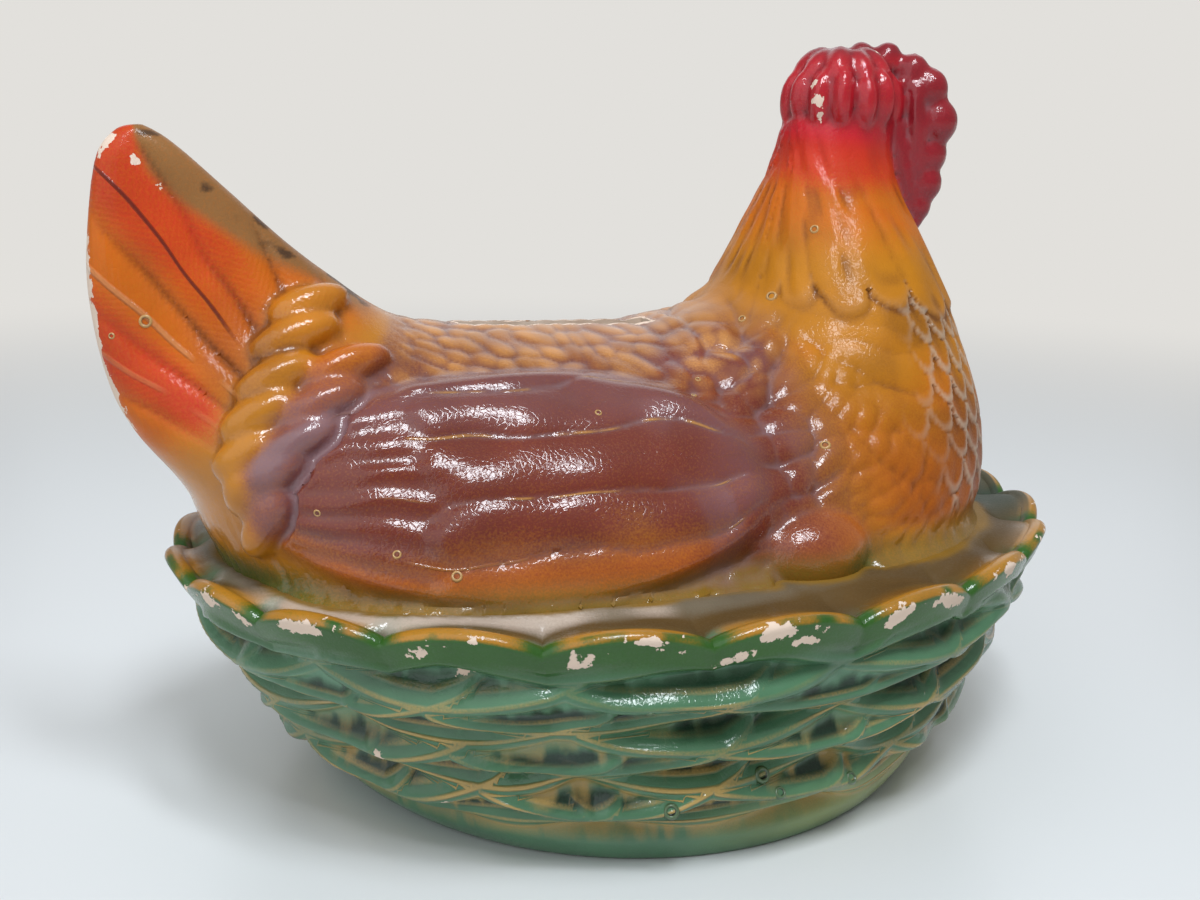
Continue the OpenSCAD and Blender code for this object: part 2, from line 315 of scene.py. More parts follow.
def soften(values: Array, edges: Array, rounds: int) -> Array:
    """Blend values half way to their neighbours' mean.

    Args:
        values: One value or row for each point.
        edges: Pairs of neighbouring points.
        rounds: How often to blend.

    Returns:
        The softened values.
    """
    for _ in range(rounds):
        values = 0.5 * (values + neighbour_mean(values, edges))
    return values


def write_mask(mesh: bpy.types.Mesh, name: str, values: Array) -> None:
    """Store one number for each point of a mesh, for its material to read."""
    mask = mesh.attributes.new(name, "FLOAT", "POINT")
    mask.data.foreach_set("value", np.asarray(values, dtype=np.float32))


def add_node(tree: Tree, kind: str, inputs: Mapping[Any, Any] | None = None,
             **settings: Any) -> bpy.types.Node:
    """Add a node with its settings and links.

    Args:
        tree: Tree that gets the node.
        kind: Blender's name of the node type.
        inputs: By name or number, a socket to link, a node to link by its first output or a value to set.
        **settings: Properties of the node.

    Returns:
        The new node.
    """
    node = tree.nodes.new(kind)
    for key, value in settings.items():
        setattr(node, key, value)
    for key, value in (inputs or {}).items():
        if isinstance(value, bpy.types.Node):
            value = value.outputs[0]
        if isinstance(value, Socket):
            tree.links.new(value, node.inputs[key])
        else:
            node.inputs[key].default_value = value
    return node


def new_material(name: str) -> tuple[bpy.types.Material, Tree]:
    """Start a material.

    Args:
        name: What the real material is.

    Returns:
        The material and its empty node tree.
    """
    material = bpy.data.materials.new(name)
    material.use_nodes = True
    material.node_tree.nodes.clear()
    return material, material.node_tree


@dataclass(frozen=True)
class Studs:
    """Copies of one small shape set on given points, each turned and sized on its own."""

    name: str
    places: Array
    axes: Array
    outs: Array
    sizes: Array

    def tree(self) -> Tree:
        """Build the Geometry Nodes tree that sets the copies.

        Returns:
            A tree with inputs for the shape, its plumpness and its finish.
        """
        tree = bpy.data.node_groups.new(self.name, "GeometryNodeTree")
        for name, kind in (("Points", "Geometry"), ("Shape", "Object"), ("Plumpness", "Float"),
                           ("Finish", "Material")):
            tree.interface.new_socket(name, in_out="INPUT", socket_type=f"NodeSocket{kind}")
        tree.interface.new_socket("Copies", in_out="OUTPUT", socket_type="NodeSocketGeometry")
        start = add_node(tree, "NodeGroupInput")
        axis, out, size = (
            add_node(tree, "GeometryNodeInputNamedAttribute", {"Name": name}, data_type="FLOAT_VECTOR")
            for name in ("axis", "out", "size"))
        along = add_node(tree, "FunctionNodeAlignRotationToVector",
                         {"Vector": axis.outputs["Attribute"]}, axis="X")
        turned = add_node(tree, "FunctionNodeAlignRotationToVector",
                          {"Rotation": along, "Vector": out.outputs["Attribute"]},
                          axis="Z", pivot_axis="X")
        shape = add_node(tree, "GeometryNodeObjectInfo", {"Object": start.outputs["Shape"]})
        scale = add_node(tree, "ShaderNodeVectorMath",
                         {0: size.outputs["Attribute"], "Scale": start.outputs["Plumpness"]},
                         operation="SCALE")
        copies = add_node(tree, "GeometryNodeInstanceOnPoints", {
            "Points": start.outputs["Points"], "Instance": shape.outputs["Geometry"],
            "Rotation": turned, "Scale": scale.outputs["Vector"]})
        real = add_node(tree, "GeometryNodeRealizeInstances", {"Geometry": copies})
        finished = add_node(tree, "GeometryNodeSetMaterial",
                            {"Geometry": real, "Material": start.outputs["Finish"]})
        add_node(tree, "NodeGroupOutput", {0: finished})
        return tree

    def build(self, shape: bpy.types.Mesh, finish: bpy.types.Material,
              plumpness: float = 1.0) -> bpy.types.Object:
        """Set the copies and turn them into a plain mesh.

        Args:
            shape: Small shape of unit size in metres.
            finish: Material of the copies.
            plumpness: Scale of every copy.

        Returns:
            An object that holds all the copies.
        """
        mesh = new_mesh(self.name, self.places, [])
        for name, rows in (("axis", self.axes), ("out", self.outs), ("size", self.sizes * MM)):
            mesh.attributes.new(name, "FLOAT_VECTOR", "POINT").data.foreach_set("vector", rows.ravel())
        obj = new_object(self.name, mesh)
        source = new_object(f"{self.name}_shape", shape)
        tree = self.tree()
        modifier = obj.modifiers.new("copies", "NODES")
        modifier.node_group = tree
        values = {"Shape": source, "Plumpness": plumpness, "Finish": finish}
        for item in tree.interface.items_tree:
            if item.in_out == "INPUT" and item.name in values:
                modifier[item.identifier] = values[item.name]
        bake_modifiers(obj)
        bpy.data.objects.remove(source)
        return obj


def unit_ball(rings: int, segments: int) -> bpy.types.Mesh:
    """Ball of radius one metre with closed poles.

    Args:
        rings: Rings between the poles.
        segments: Points in a ring.

    Returns:
        The mesh.
    """
    up = np.pi * (np.arange(1, rings + 1)) / (rings + 1)
    turn = 2 * np.pi * np.arange(segments) / segments
    ring = np.stack([np.outer(np.sin(up), np.cos(turn)), np.outer(np.sin(up), np.sin(turn)),
                     np.outer(np.cos(up), np.ones(segments))], -1).reshape(-1, 3)
    points = np.vstack([ring, [[0, 0, 1], [0, 0, -1]]])
    top, low, last = len(ring), len(ring) + 1, (rings - 1) * segments
    faces = [quad[::-1] for quad in grid_quads(rings, segments, False).tolist()]
    for j in range(segments):
        k = (j + 1) % segments
        faces += [[top, j, k], [low, last + k, last + j]]
    return new_mesh("ball", points / MM, faces)


def blister_ring(segments: int = 18) -> bpy.types.Mesh:
    """Burst air bubble: a raised lip round a pit.

    Args:
        segments: Points in a ring.

    Returns:
        The mesh, of unit radius in metres, with a mask for the pit.
    """
    profile = np.array([(1.25, -0.3), (1.02, 0.1), (0.84, 0.26), (0.66, 0.2), (0.5, -0.1), (0.04, -0.22)])
    pit_rings = (0, 0, 0, 0, 1, 1)
    turn = 2 * np.pi * np.arange(segments) / segments
    points = np.stack([np.outer(profile[:, 0], np.cos(turn)), np.outer(profile[:, 0], np.sin(turn)),
                       np.outer(profile[:, 1], np.ones(segments))], -1).reshape(-1, 3)
    last = (len(profile) - 1) * segments
    faces = grid_quads(len(profile), segments, False).tolist()
    faces += [list(range(last, last + segments)), list(range(segments))[::-1]]
    mesh = new_mesh("blister", points / MM, faces)
    write_mask(mesh, "pit", np.repeat(pit_rings, segments))
    return mesh


@dataclass(frozen=True)
class PaintLayer:
    """One coat of paint: the mask that says where it lies, its colour and how well it covers.

    A coat with a pitch lies in thin lines, at every pitch of the offset that the piece stores.
    """

    mask: str
    colour: str
    cover: float = 1.0
    dots: float = 0.16
    offset: str = ""
    pitch_mm: float = 0.0
    line_mm: float = 0.0


@dataclass(frozen=True)
class VarnishedPaint:
    """Airbrushed cold paint on a chalky casting, under a brushed gloss varnish.

    The coats fade into each other, the varnish is wrinkled and specked, and the bare casting
    shows as matt cream where the paint has flaked off.
    """

    name: str
    ground: str
    layers: tuple[PaintLayer, ...]
    chip: str = "#DFC9B7"
    gloss: float = 0.42
    varnish_gloss: float = 0.12
    ior: float = 1.48
    specular: float = 0.15
    # Airbrush dots are about 0.1 mm and too fine to show, so they are drawn coarser
    speck_mm: float = 0.45
    cloud_mm: float = 14.0
    flake_mm: float = 2.4
    # Brush wrinkles and crackle of the varnish are drawn two or three times too coarse for the same reason
    wrinkle_mm: float = 1.5
    crackle_mm: float = 1.2
    wrinkle: float = 0.24
    barbs: bool = False

    def build(self) -> bpy.types.Material:
        """Build the material.

        Returns:
            A material that reads the piece's masks and Object coordinates.
        """
        material, tree = new_material(self.name)
        place = add_node(tree, "ShaderNodeTexCoord").outputs["Object"]
        speck = add_node(tree, "ShaderNodeTexNoise", {
            "Vector": place, "Scale": 1 / (self.speck_mm * MM), "Detail": 3.0}).outputs[0]
        colour, lines = self.coats(tree, speck)
        bare = self.flaked(tree, place)
        cloud = add_node(tree, "ShaderNodeTexNoise", {
            "Vector": place, "Scale": 1 / (self.cloud_mm * MM), "Detail": 4.0})
        shade = add_node(tree, "ShaderNodeMapRange", {0: cloud, 1: 0.3, 2: 0.7, 3: 0.86, 4: 1.1})
        shaded = add_node(tree, "ShaderNodeHueSaturation", {"Value": shade, "Color": colour})
        painted = add_node(tree, "ShaderNodeMix", {0: bare, 6: shaded, 7: linear(self.chip)},
                           data_type="RGBA")
        rough = add_node(tree, "ShaderNodeMapRange", {
            0: speck, 1: 0.3, 2: 0.7, 3: self.gloss, 4: self.gloss + 0.16})
        dull = add_node(tree, "ShaderNodeMix", {0: bare, 2: rough, 3: 0.9})
        varnish = add_node(tree, "ShaderNodeAttribute", attribute_name="varnish").outputs["Fac"]
        coat = add_node(tree, "ShaderNodeMath", {0: bare, 1: -1.0, 2: varnish}, operation="MULTIPLY_ADD",
                        use_clamp=True)
        normal = self.wrinkled(tree, place, bare, lines)
        shader = add_node(tree, "ShaderNodeBsdfPrincipled", {
            "Base Color": painted.outputs[2], "Roughness": dull, "Normal": normal,
            "Coat Weight": coat, "Coat Roughness": self.varnish_gloss, "Coat Normal": normal,
            "IOR": self.ior, "Specular IOR Level": self.specular})
        add_node(tree, "ShaderNodeOutputMaterial", {"Surface": shader})
        return material

    def coats(self, tree: Tree, speck: Socket,
              ) -> tuple[Socket, Socket | None]:
        """Lay the coats over each other, each where its mask lies.

        Args:
            tree: Tree of the material.
            speck: Fine noise of the airbrush.

        Returns:
            The colour, and the height of the coats that lie in thin lines.
        """
        # Airbrushed paint breaks into fine dots where it fades, so the dots shift the mask there
        grain = add_node(tree, "ShaderNodeMapRange", {0: speck, 1: 0.3, 2: 0.7, 3: -1.0, 4: 1.0}).outputs[0]
        colour, lines = linear(self.ground), None
        for layer in self.layers:
            mask = add_node(tree, "ShaderNodeAttribute", attribute_name=layer.mask).outputs["Fac"]
            edge = add_node(tree, "ShaderNodeMapRange", {0: mask, 1: 0.03, 2: 0.25, 3: 0.0, 4: layer.dots})
            shift = add_node(tree, "ShaderNodeMath", {0: grain, 1: edge}, operation="MULTIPLY")
            dotted = add_node(tree, "ShaderNodeMath", {0: mask, 1: shift}, operation="ADD", use_clamp=True)
            factor = add_node(tree, "ShaderNodeMath", {0: dotted, 1: layer.cover},
                              operation="MULTIPLY").outputs[0]
            if layer.pitch_mm:
                offset = add_node(tree, "ShaderNodeAttribute", attribute_name=layer.offset).outputs["Fac"]
                near = add_node(tree, "ShaderNodeMath", {0: offset, 1: layer.pitch_mm / 2},
                                operation="PINGPONG")
                line = add_node(tree, "ShaderNodeMapRange", {
                    0: near, 1: 0.75 * layer.line_mm, 2: 0.3 * layer.line_mm}).outputs[0]
                lines = add_node(tree, "ShaderNodeMath", {0: line, 1: mask, 2: lines or 0.0},
                                 operation="MULTIPLY_ADD").outputs[0]
                factor = add_node(tree, "ShaderNodeMath", {0: line, 1: factor},
                                  operation="MULTIPLY").outputs[0]
            colour = add_node(tree, "ShaderNodeMix", {0: factor, 6: colour, 7: linear(layer.colour)},
                              data_type="RGBA").outputs[2]
        return colour, lines

    def flaked(self, tree: Tree, place: Socket) -> Socket:
        """Tear the chip mask into ragged flakes.

        Args:
            tree: Tree of the material.
            place: Object coordinates.

        Returns:
            1 on bare casting and 0 on paint.
        """
        flake = add_node(tree, "ShaderNodeTexNoise", {
            "Vector": place, "Scale": 1 / (self.flake_mm * MM), "Detail": 4.0, "Roughness": 0.6})
        chip = add_node(tree, "ShaderNodeAttribute", attribute_name="chip").outputs["Fac"]
        torn = add_node(tree, "ShaderNodeMapRange", {0: flake, 1: 0.2, 2: 0.8, 3: -0.62, 4: 0.62})
        ragged = add_node(tree, "ShaderNodeMath", {0: chip, 1: torn}, operation="ADD")
        worn = add_node(tree, "ShaderNodeMapRange", {0: ragged, 1: 0.48, 2: 0.53})
        known = add_node(tree, "ShaderNodeMath", {0: chip, 1: 0.04}, operation="GREATER_THAN")
        return add_node(tree, "ShaderNodeMath", {0: worn, 1: known},
                        operation="MULTIPLY").outputs[0]

    def wrinkled(self, tree: Tree, place: Socket, bare: Socket,
                 lines: Socket | None) -> Socket:
        """Wrinkle the varnish, sink the flakes and raise the painted lines.

        Args:
            tree: Tree of the material.
            place: Object coordinates.
            bare: Mask of the bare casting.
            lines: Height of the painted lines, where there are any.

        Returns:
            The bumped normal.
        """
        wrinkle = add_node(tree, "ShaderNodeTexNoise", {
            "Vector": place, "Scale": 1 / (self.wrinkle_mm * MM), "Detail": 2.0, "Distortion": 1.2})
        crackle = add_node(tree, "ShaderNodeTexVoronoi", {
            "Vector": place, "Scale": 1 / (self.crackle_mm * MM)}, feature="DISTANCE_TO_EDGE")
        leather = add_node(tree, "ShaderNodeMapRange", {0: crackle, 1: 0.0, 2: 0.12, 3: 0.0, 4: 0.22})
        skin = add_node(tree, "ShaderNodeMath", {0: wrinkle, 1: 0.6, 2: leather},
                        operation="MULTIPLY_ADD")
        height = add_node(tree, "ShaderNodeMath", {0: bare, 1: -1.6, 2: skin},
                          operation="MULTIPLY_ADD").outputs[0]
        if self.barbs:
            barb = add_node(tree, "ShaderNodeAttribute", attribute_name="barb").outputs["Fac"]
            wave = add_node(tree, "ShaderNodeMath", {0: barb}, operation="SINE")
            feather = add_node(tree, "ShaderNodeAttribute", attribute_name="barbed").outputs["Fac"]
            line = add_node(tree, "ShaderNodeMath", {0: wave, 1: feather}, operation="MULTIPLY")
            height = add_node(tree, "ShaderNodeMath", {0: line, 1: 0.18, 2: height},
                              operation="MULTIPLY_ADD").outputs[0]
        normal = add_node(tree, "ShaderNodeBump", {
            "Strength": self.wrinkle, "Distance": 0.3 * MM, "Height": height}).outputs[0]
        if lines:
            normal = add_node(tree, "ShaderNodeBump", {
                "Strength": 0.7, "Distance": 0.4 * MM, "Height": lines, "Normal": normal}).outputs[0]
        return normal


@dataclass(frozen=True)
class PlainFinish:
    """A single material with mottled tone and a fine grain, such as bare casting or rubber."""

    name: str
    light: str
    dark: str
    roughness: float
    grain_mm: float
    mottle_mm: float
    relief_mm: float

    def build(self) -> bpy.types.Material:
        """Build the material.

        Returns:
            A material on Object coordinates.
        """
        material, tree = new_material(self.name)
        place = add_node(tree, "ShaderNodeTexCoord").outputs["Object"]
        mottle = add_node(tree, "ShaderNodeTexNoise", {
            "Vector": place, "Scale": 1 / (self.mottle_mm * MM), "Detail": 5.0})
        tone = add_node(tree, "ShaderNodeMapRange", {0: mottle, 1: 0.32, 2: 0.68})
        colour = add_node(tree, "ShaderNodeMix", {0: tone, 6: linear(self.light), 7: linear(self.dark)},
                          data_type="RGBA")
        grain = add_node(tree, "ShaderNodeTexNoise", {
            "Vector": place, "Scale": 1 / (self.grain_mm * MM), "Detail": 3.0})
        rough = add_node(tree, "ShaderNodeMapRange", {
            0: grain, 1: 0.3, 2: 0.7, 3: self.roughness - 0.08, 4: self.roughness + 0.08})
        bump = add_node(tree, "ShaderNodeBump", {
            "Strength": 0.5, "Distance": self.relief_mm * MM, "Height": grain})
        shader = add_node(tree, "ShaderNodeBsdfPrincipled", {
            "Base Color": colour.outputs[2], "Roughness": rough, "Normal": bump})
        add_node(tree, "ShaderNodeOutputMaterial", {"Surface": shader})
        return material


@dataclass(frozen=True)
class BlisterFinish:
    """Burst bubble in the varnish: a pale worn lip round a dark pit."""

    name: str
    lip: str
    pit: str
    wear_mm: float = 0.9

    def build(self) -> bpy.types.Material:
        """Build the material.

        Returns:
            A material that reads the bubble's pit mask.
        """
        material, tree = new_material(self.name)
        place = add_node(tree, "ShaderNodeTexCoord").outputs["Object"]
        wear = add_node(tree, "ShaderNodeTexNoise", {
            "Vector": place, "Scale": 1 / (self.wear_mm * MM), "Detail": 2.0})
        pit = add_node(tree, "ShaderNodeAttribute", attribute_name="pit").outputs["Fac"]
        reach = add_node(tree, "ShaderNodeMath", {0: wear, 1: 0.5, 2: pit}, operation="MULTIPLY_ADD")
        tone = add_node(tree, "ShaderNodeMapRange", {0: reach, 1: 0.25, 2: 0.8})
        colour = add_node(tree, "ShaderNodeMix", {0: tone, 6: linear(self.lip), 7: linear(self.pit)},
                          data_type="RGBA")
        shader = add_node(tree, "ShaderNodeBsdfPrincipled", {
            "Base Color": colour.outputs[2], "Roughness": 0.35, "Coat Weight": 0.5, "Coat Roughness": 0.15})
        add_node(tree, "ShaderNodeOutputMaterial", {"Surface": shader})
        return material


# Cold paint sprayed on a chalky casting and brushed with varnish: colours that fade into each other in
# fine dots, a wet wrinkled gloss that has worn dull on neck and tail, and cream flakes with torn edges
HEN_PAINT = VarnishedPaint("Airbrushed cold paint under gloss varnish, hen", "#B57312", (
    PaintLayer("back", "#AC7340"),
    PaintLayer("orange", "#C4600F"),
    PaintLayer("maroon", "#6B2719"),
    PaintLayer("tan", "#8C6136"),
    # Umber: painted shade in hollows and creases, and dark streaks on the hackles
    PaintLayer("umber", "#5E3113", 0.8, 0.1),
    PaintLayer("crimson", "#B80F22", 1.0, 0.08),
    # Wine: the cheeks' dark red, and painted shade in the comb's hollows
    PaintLayer("wine", "#740D1C", 0.9, 0.05),
    PaintLayer("scarlet", "#C22F18"),
    PaintLayer("olive", "#7C5F1C"),
    PaintLayer("green", "#3A5C22"),
    # Mauve: greyish pink in the hollows and on the saddle, and painted sheen on the upper wing
    PaintLayer("mauve", "#82646A", 0.8, 0.08),
    PaintLayer("fleck", "#C98A44", 0.8, 0.25),
    PaintLayer("gilt", "#B57E3C", 0.8, 0.2, "crease", 400.0, 0.4),
    PaintLayer("shaft", "#571A15", 0.85, 0.0, "quill", 400.0, 0.6),
    PaintLayer("ridge", "#C48656", 0.6, 0.0, "quill", 400.0, 0.9),
    # Painted highlight: pale reflections along the rims of the breast's scales and the cape's tips
    PaintLayer("sheen", "#C2B09C", 0.6, 0.05),
    PaintLayer("horn", "#D8A94A", 1.0, 0.05),
    PaintLayer("eye", "#1B1512", 1.0, 0.0),
    PaintLayer("speck", "#33241C", 0.8, 0.1),
), barbs=True)

# The same paint in greens, rubbed off the raised withies so that thin ochre lines show along them
NEST_PAINT = VarnishedPaint("Airbrushed cold paint under gloss varnish, nest", "#4A7555", (
    # Fringe and dark paint light and shade in the hollows of the weave: paler streaked green under each
    # bundle, dark green painted shade below it
    PaintLayer("fringe", "#649272", 0.8, 0.05),
    PaintLayer("dark", "#0F2C1C", 1.0, 0.05),
    PaintLayer("pale", "#8E9A5C", 0.85, 0.05),
    PaintLayer("ochre", "#AE8C4C", 0.9, 0.08),
    PaintLayer("withy", "#BC9A58", 0.9, 0.15, "strand", 2.0, 0.66),
    PaintLayer("leaf", "#2A5815", 1.0, 0.08),
    PaintLayer("rim", "#A8741E", 1.0, 0.2),
    PaintLayer("bed", "#6E6250", 1.0, 0.05),
    PaintLayer("rust", "#543C14", 0.85, 0.1),
    PaintLayer("olive", "#8A661C", 0.8, 0.1),
    # Painted highlight: a pale band on the bed along the hen's foot, where the window's light would reflect
    PaintLayer("bloom", "#CAB8A9", 0.75, 0.1),
    # Painted shade: dark grey-green on the bed and inner rim at the end before the breast and along the far
    # side
    PaintLayer("slate", "#3C463C", 0.9, 0.05),
), wrinkle_mm=1.2)

# Casting left bare where nobody looks: chalky, matt and mottled in pale cream
BARE_CASTING = PlainFinish("Bare low-fired casting", "#E2D0BE", "#C9B09A", 0.85, 0.5, 9.0, 0.12)
# Moulded soft rubber: near black, with a dull even sheen
BUNG_RUBBER = PlainFinish("Moulded soft rubber", "#22201E", "#2E2B28", 0.6, 0.4, 6.0, 0.05)
# Bubbles that burst in the wet varnish: a worn paler lip round a dark pit
HEN_BLISTER = BlisterFinish("Burst varnish bubble, hen", "#B58C52", "#4A2A14")
NEST_BLISTER = BlisterFinish("Burst varnish bubble, nest", "#4C6442", "#0C1610")


class Part(IntEnum):
    """What a point of the hen belongs to."""

    SKIN = 0
    ROPE = 1
    SADDLE = 2
    COMB = 3
    CHEEK = 4
    BEAK = 5
    EYE = 6
    KNOB = 7


def lottery(*numbers: Array | float) -> Array:
    """Number from 0 to 1 that is fixed for each set of whole numbers."""
    mixed = np.sin(sum(n * k for n, k in zip(numbers, (12.9898, 78.233, 37.719)))) * 43758.5453
    return mixed - np.floor(mixed)


def scales(across: Array, down: Array) -> tuple[Array, Array]:
    """Overlapping round-tipped feathers, like roof tiles, on a unit grid.

    Args:
        across: Place across the rows, one feather wide per unit.
        down: Place down the rows, one row per unit.

    Returns:
        Height from 0 to 1 and the nearness of a feather's rim from 0 to 1.
    """
    height = np.full(across.shape, 0.12)
    rim = np.zeros(across.shape)
    free = np.ones(across.shape, dtype=bool)
    row = np.floor(down)
    for step in (-1, 0, 1):
        top = row + step
        shift = 0.5 * np.mod(top, 2)
        side = across - shift - np.round(across - shift)
        reach = np.sqrt((side / 0.56) ** 2 + (np.clip(down - top + 0.25, 0, None) / 1.42) ** 2)
        inside = free & (reach < 1) & (down - top > -0.25)
        height = np.where(inside, 0.25 + 0.75 * ease(reach, 0.1, 0.85) * ease(reach, 1.0, 0.93), height)
        rim = np.where(inside, band(reach, 0.72, 0.86, 0.94, 1.0), rim)
        free &= ~inside
    return height, rim


def bumps(across: Array, down: Array, seed: int) -> Array:
    """Round bumps on a loose grid of unit cells.

    Args:
        across: Place across the grid.
        down: Place down the grid.
        seed: Number that picks the pattern.

    Returns:
        Height from 0 between the bumps to 1 on top of them.
    """
    gap = np.full(across.shape, 9.0)
    for i, j in np.ndindex(3, 3):
        u, v = np.floor(across) + i - 1, np.floor(down) + j - 1
        gap = np.minimum(gap, np.hypot(across - u - 0.2 - 0.6 * lottery(u, v, seed),
                                       down - v - 0.2 - 0.6 * lottery(u, v, seed + 5)))
    return np.clip(1 - (gap / 0.78) ** 2, 0, 1) ** 0.8


@dataclass(frozen=True)
class Lobe:
    """One plump lobe on the hen, with its long axis, its outward direction and its half sizes."""

    place: Sequence[float]
    axis: Sequence[float]
    out: Sequence[float]
    half: tuple[float, float, float]
    part: Part


@dataclass(frozen=True)
class Spots:
    """Points of the hen's shell, with the rib number of each, its angle and its height above the skin."""

    points: Array
    rib: Array
    fold: Array
    lift: Array


@dataclass
class Hen:
    """The hen: one lofted skin with wings, tail, rope-like saddle feathers and a turned head.

    Places along the hen are rib numbers from the tail, in line with RIBS, or x in millimetres; places
    round it are angles from the back line in degrees; heights are millimetres above the table.
    """

    bed: float
    tail_x: float = -110.955
    length: float = 206.0
    height: float = 110.0
    width: float = 122.0
    wing_raise: float = 4.2
    wall: float = 5.0
    cove: float = 4.5
    sink: float = 0.4
    voxel: float = 0.88
    slot_x: tuple[float, float] = (-36.0, 10.0)
    slot_half: float = 2.7
    wing_at: tuple[float, float] = (-35.7, 73.5)
    wing_half: tuple[float, float] = (51.5, 20.0)
    wing_cuts: tuple[float, ...] = (-1.15, -0.62, -0.12, 0.45, 0.83, 1.15)
    tail_pivot: tuple[float, float] = (-61.7, 66.0)
    head_at: tuple[float, float, float] = (66.6, 0.0, 147.5)
    head_turn: float = 38.0
    # Strands on the tail's root and the saddle: rib number, angle from the back line, half length
    rope_strands: Rows = ((4.1, 47, 9), (4.4, 64, 9.5), (4.74, 82, 9), (4.98, 97, 8.5), (5.22, 111, 8),
                          (5.42, 121, 7), (5.7, 128, 6))
    saddle_strands: Rows = ((5.2, 53, 9.5), (5.3, 72, 9), (5.42, 88, 8.5), (5.48, 103, 8), (5.66, 118, 7.5))
    strand_half: tuple[float, float] = (3.9, 4.6)
    knob_at: tuple[float, float, float] = (23.5, 53.0, 3.0)
    knob_half: tuple[float, float, float] = (13.0, 9.5, 9.0)
    # Lobes of the head: angles round the nape, then x, y, z from the middle of the head with half sizes, and
    # for the folds their lean
    comb_fingers: tuple[float, ...] = (66, 93, 119, 146, 174, 200, 228, 254, 282)
    comb_tips: tuple[float, ...] = (72, 112, 150, 190, 231, 270)
    comb_crown: Rows = ((2.4, -4.8, 11.8, 4.4), (-0.5, 0.8, 12, 4.2), (-5, 4.6, 11, 4.0), (6.5, 1.2, 11, 4.2),
                        (10.5, 0, 8.5, 4.2))
    wattle_beads: Rows = ((4, 10.5, 9, 4.6, 4.2), (5, 14.6, 5.2, 5.2, 4.6), (6, 16.8, -2.2, 5.6, 5.0),
                          (6, 15.2, -9.8, 5.2, 4.6), (5.8, 15.0, -16.6, 4.8, 4.2), (5, 13.8, -22, 4.0, 3.4),
                          (4.4, 13.2, -25.4, 2.8, 2.4))
    wattle_sheets: Rows = ((3, 9, 0, 9.5, 6), (3.8, 11, -11, 10, 5), (3.6, 11.5, -19, 7, 3.6))
    wattle_folds: Rows = ((-0.4, 7.6, 1, 10, 1.9, 0.3), (-0.2, 10.4, -9, 13, 1.8, 0.22),
                          (1.0, 13.8, -5, 12, 1.9, 0.08), (1.6, 11.6, 5, 5.5, 1.8, 0.7))
    # Known flakes of the paint: x, y, z and radius
    flakes: Rows = ((-106.8, -1, 138.6, 3.2), (-101.4, -4.2, 135.2, 1.1), (-96.8, -5.9, 130.8, 1.5),
                    (48.5, -8, 149.6, 1.7), (48.2, -5.2, 153.5, 1.6), (49.5, -8.6, 145.8, 1.4),
                    (60.7, -13, 148, 1.0), (52, 9, 150, 2.6), (33, -9, 112, 1.6), (66, -6, 161, 1.4),
                    (75, -22, 143, 1.4))
    rump_tuck: float = 4.0
    chamber_ribs: tuple[float, float] = (6.3, 13.4)
    paint_depth: float = 1.6
    crease_angle: float = 50.0
    grid_t: Array = field(default_factory=lambda: np.linspace(0, len(RIBS) - 1, 260))
    grid_a: Array = field(default_factory=lambda: np.arange(200) * 2 * np.pi / 200)

    def skin(self, t: Array, angle: Array, inset: Array | float = 0.0) -> Array:
        """Points of the smooth skin.

        Args:
            t: Rib numbers from the tail.
            angle: Angles round the rib from the back line, in radians.
            inset: Distance inwards.

        Returns:
            Points in millimetres.
        """
        r = catmull(RIBS, t)
        back, belly = (np.stack([r[..., k] / 100 * self.length + self.tail_x,
                                 self.bed + r[..., k + 1] / 100 * self.height], -1) for k in (0, 2))
        way = unit(belly - back)
        back, belly = back + way * np.asarray(inset)[..., None], belly - way * np.asarray(inset)[..., None]
        share = ((1 - np.cos(angle)) / 2) ** r[..., 5]
        middle = back + (belly - back) * share[..., None]
        half = np.maximum(0.4, r[..., 4] / 100 * (self.width / 2 - self.wing_raise) - inset)
        side = half * np.sign(np.sin(angle)) * np.abs(np.sin(angle)) ** r[..., 6]
        return np.stack([middle[..., 0], side, middle[..., 1]], -1)

    def skin_frame(self, t: float, fold: float, side: int) -> tuple[Array, Array]:
        """Place on the skin with its outward direction.

        Args:
            t: Rib number from the tail.
            fold: Angle from the back line in degrees.
            side: 1 for the hen's left and -1 for its right.

        Returns:
            The point and the outward direction.
        """
        angle, step = math.radians(fold) * side, 0.05
        near = self.skin(np.array([t, t + step, t - step, t, t]),
                         np.array([angle] * 3 + [angle + step, angle - step]))
        along, about = near[1] - near[2], near[3] - near[4]
        return near[0], unit(np.cross(along, about))

    def lobes(self) -> tuple[Studs, Array]:
        """Every plump lobe that stands on the skin, on both sides of the hen.

        Returns:
            The lobes and the part that each belongs to.
        """
        rows: list[Lobe] = []
        for column, part in ((self.rope_strands, Part.ROPE), (self.saddle_strands, Part.SADDLE)):
            for (t, fold, half), side in ((row, side) for row in column for side in (1, -1)):
                place, out = self.skin_frame(t, fold, side)
                rise = np.array([1.0, 0, 0.38 + 0.9 * ease(np.array(fold), 108, 134)])
                rows.append(Lobe(place + 0.3 * out, unit(rise - out * (rise @ out)), out,
                                 (half, *self.strand_half), part))
        x, y, above = self.knob_at
        rows += [Lobe((x, side * y, self.bed + above), (1.0, 0, 0.1), (0, side, 0.5), self.knob_half,
                      Part.KNOB) for side in (1, -1)]
        rows += self.head_lobes()
        places, axes, outs, sizes = (np.array([getattr(lobe, name) for lobe in rows], dtype=float)
                                     for name in ("place", "axis", "out", "half"))
        studs = Studs("hen_lobes", places, unit(axes), unit(outs), sizes)
        return studs, np.array([lobe.part for lobe in rows])

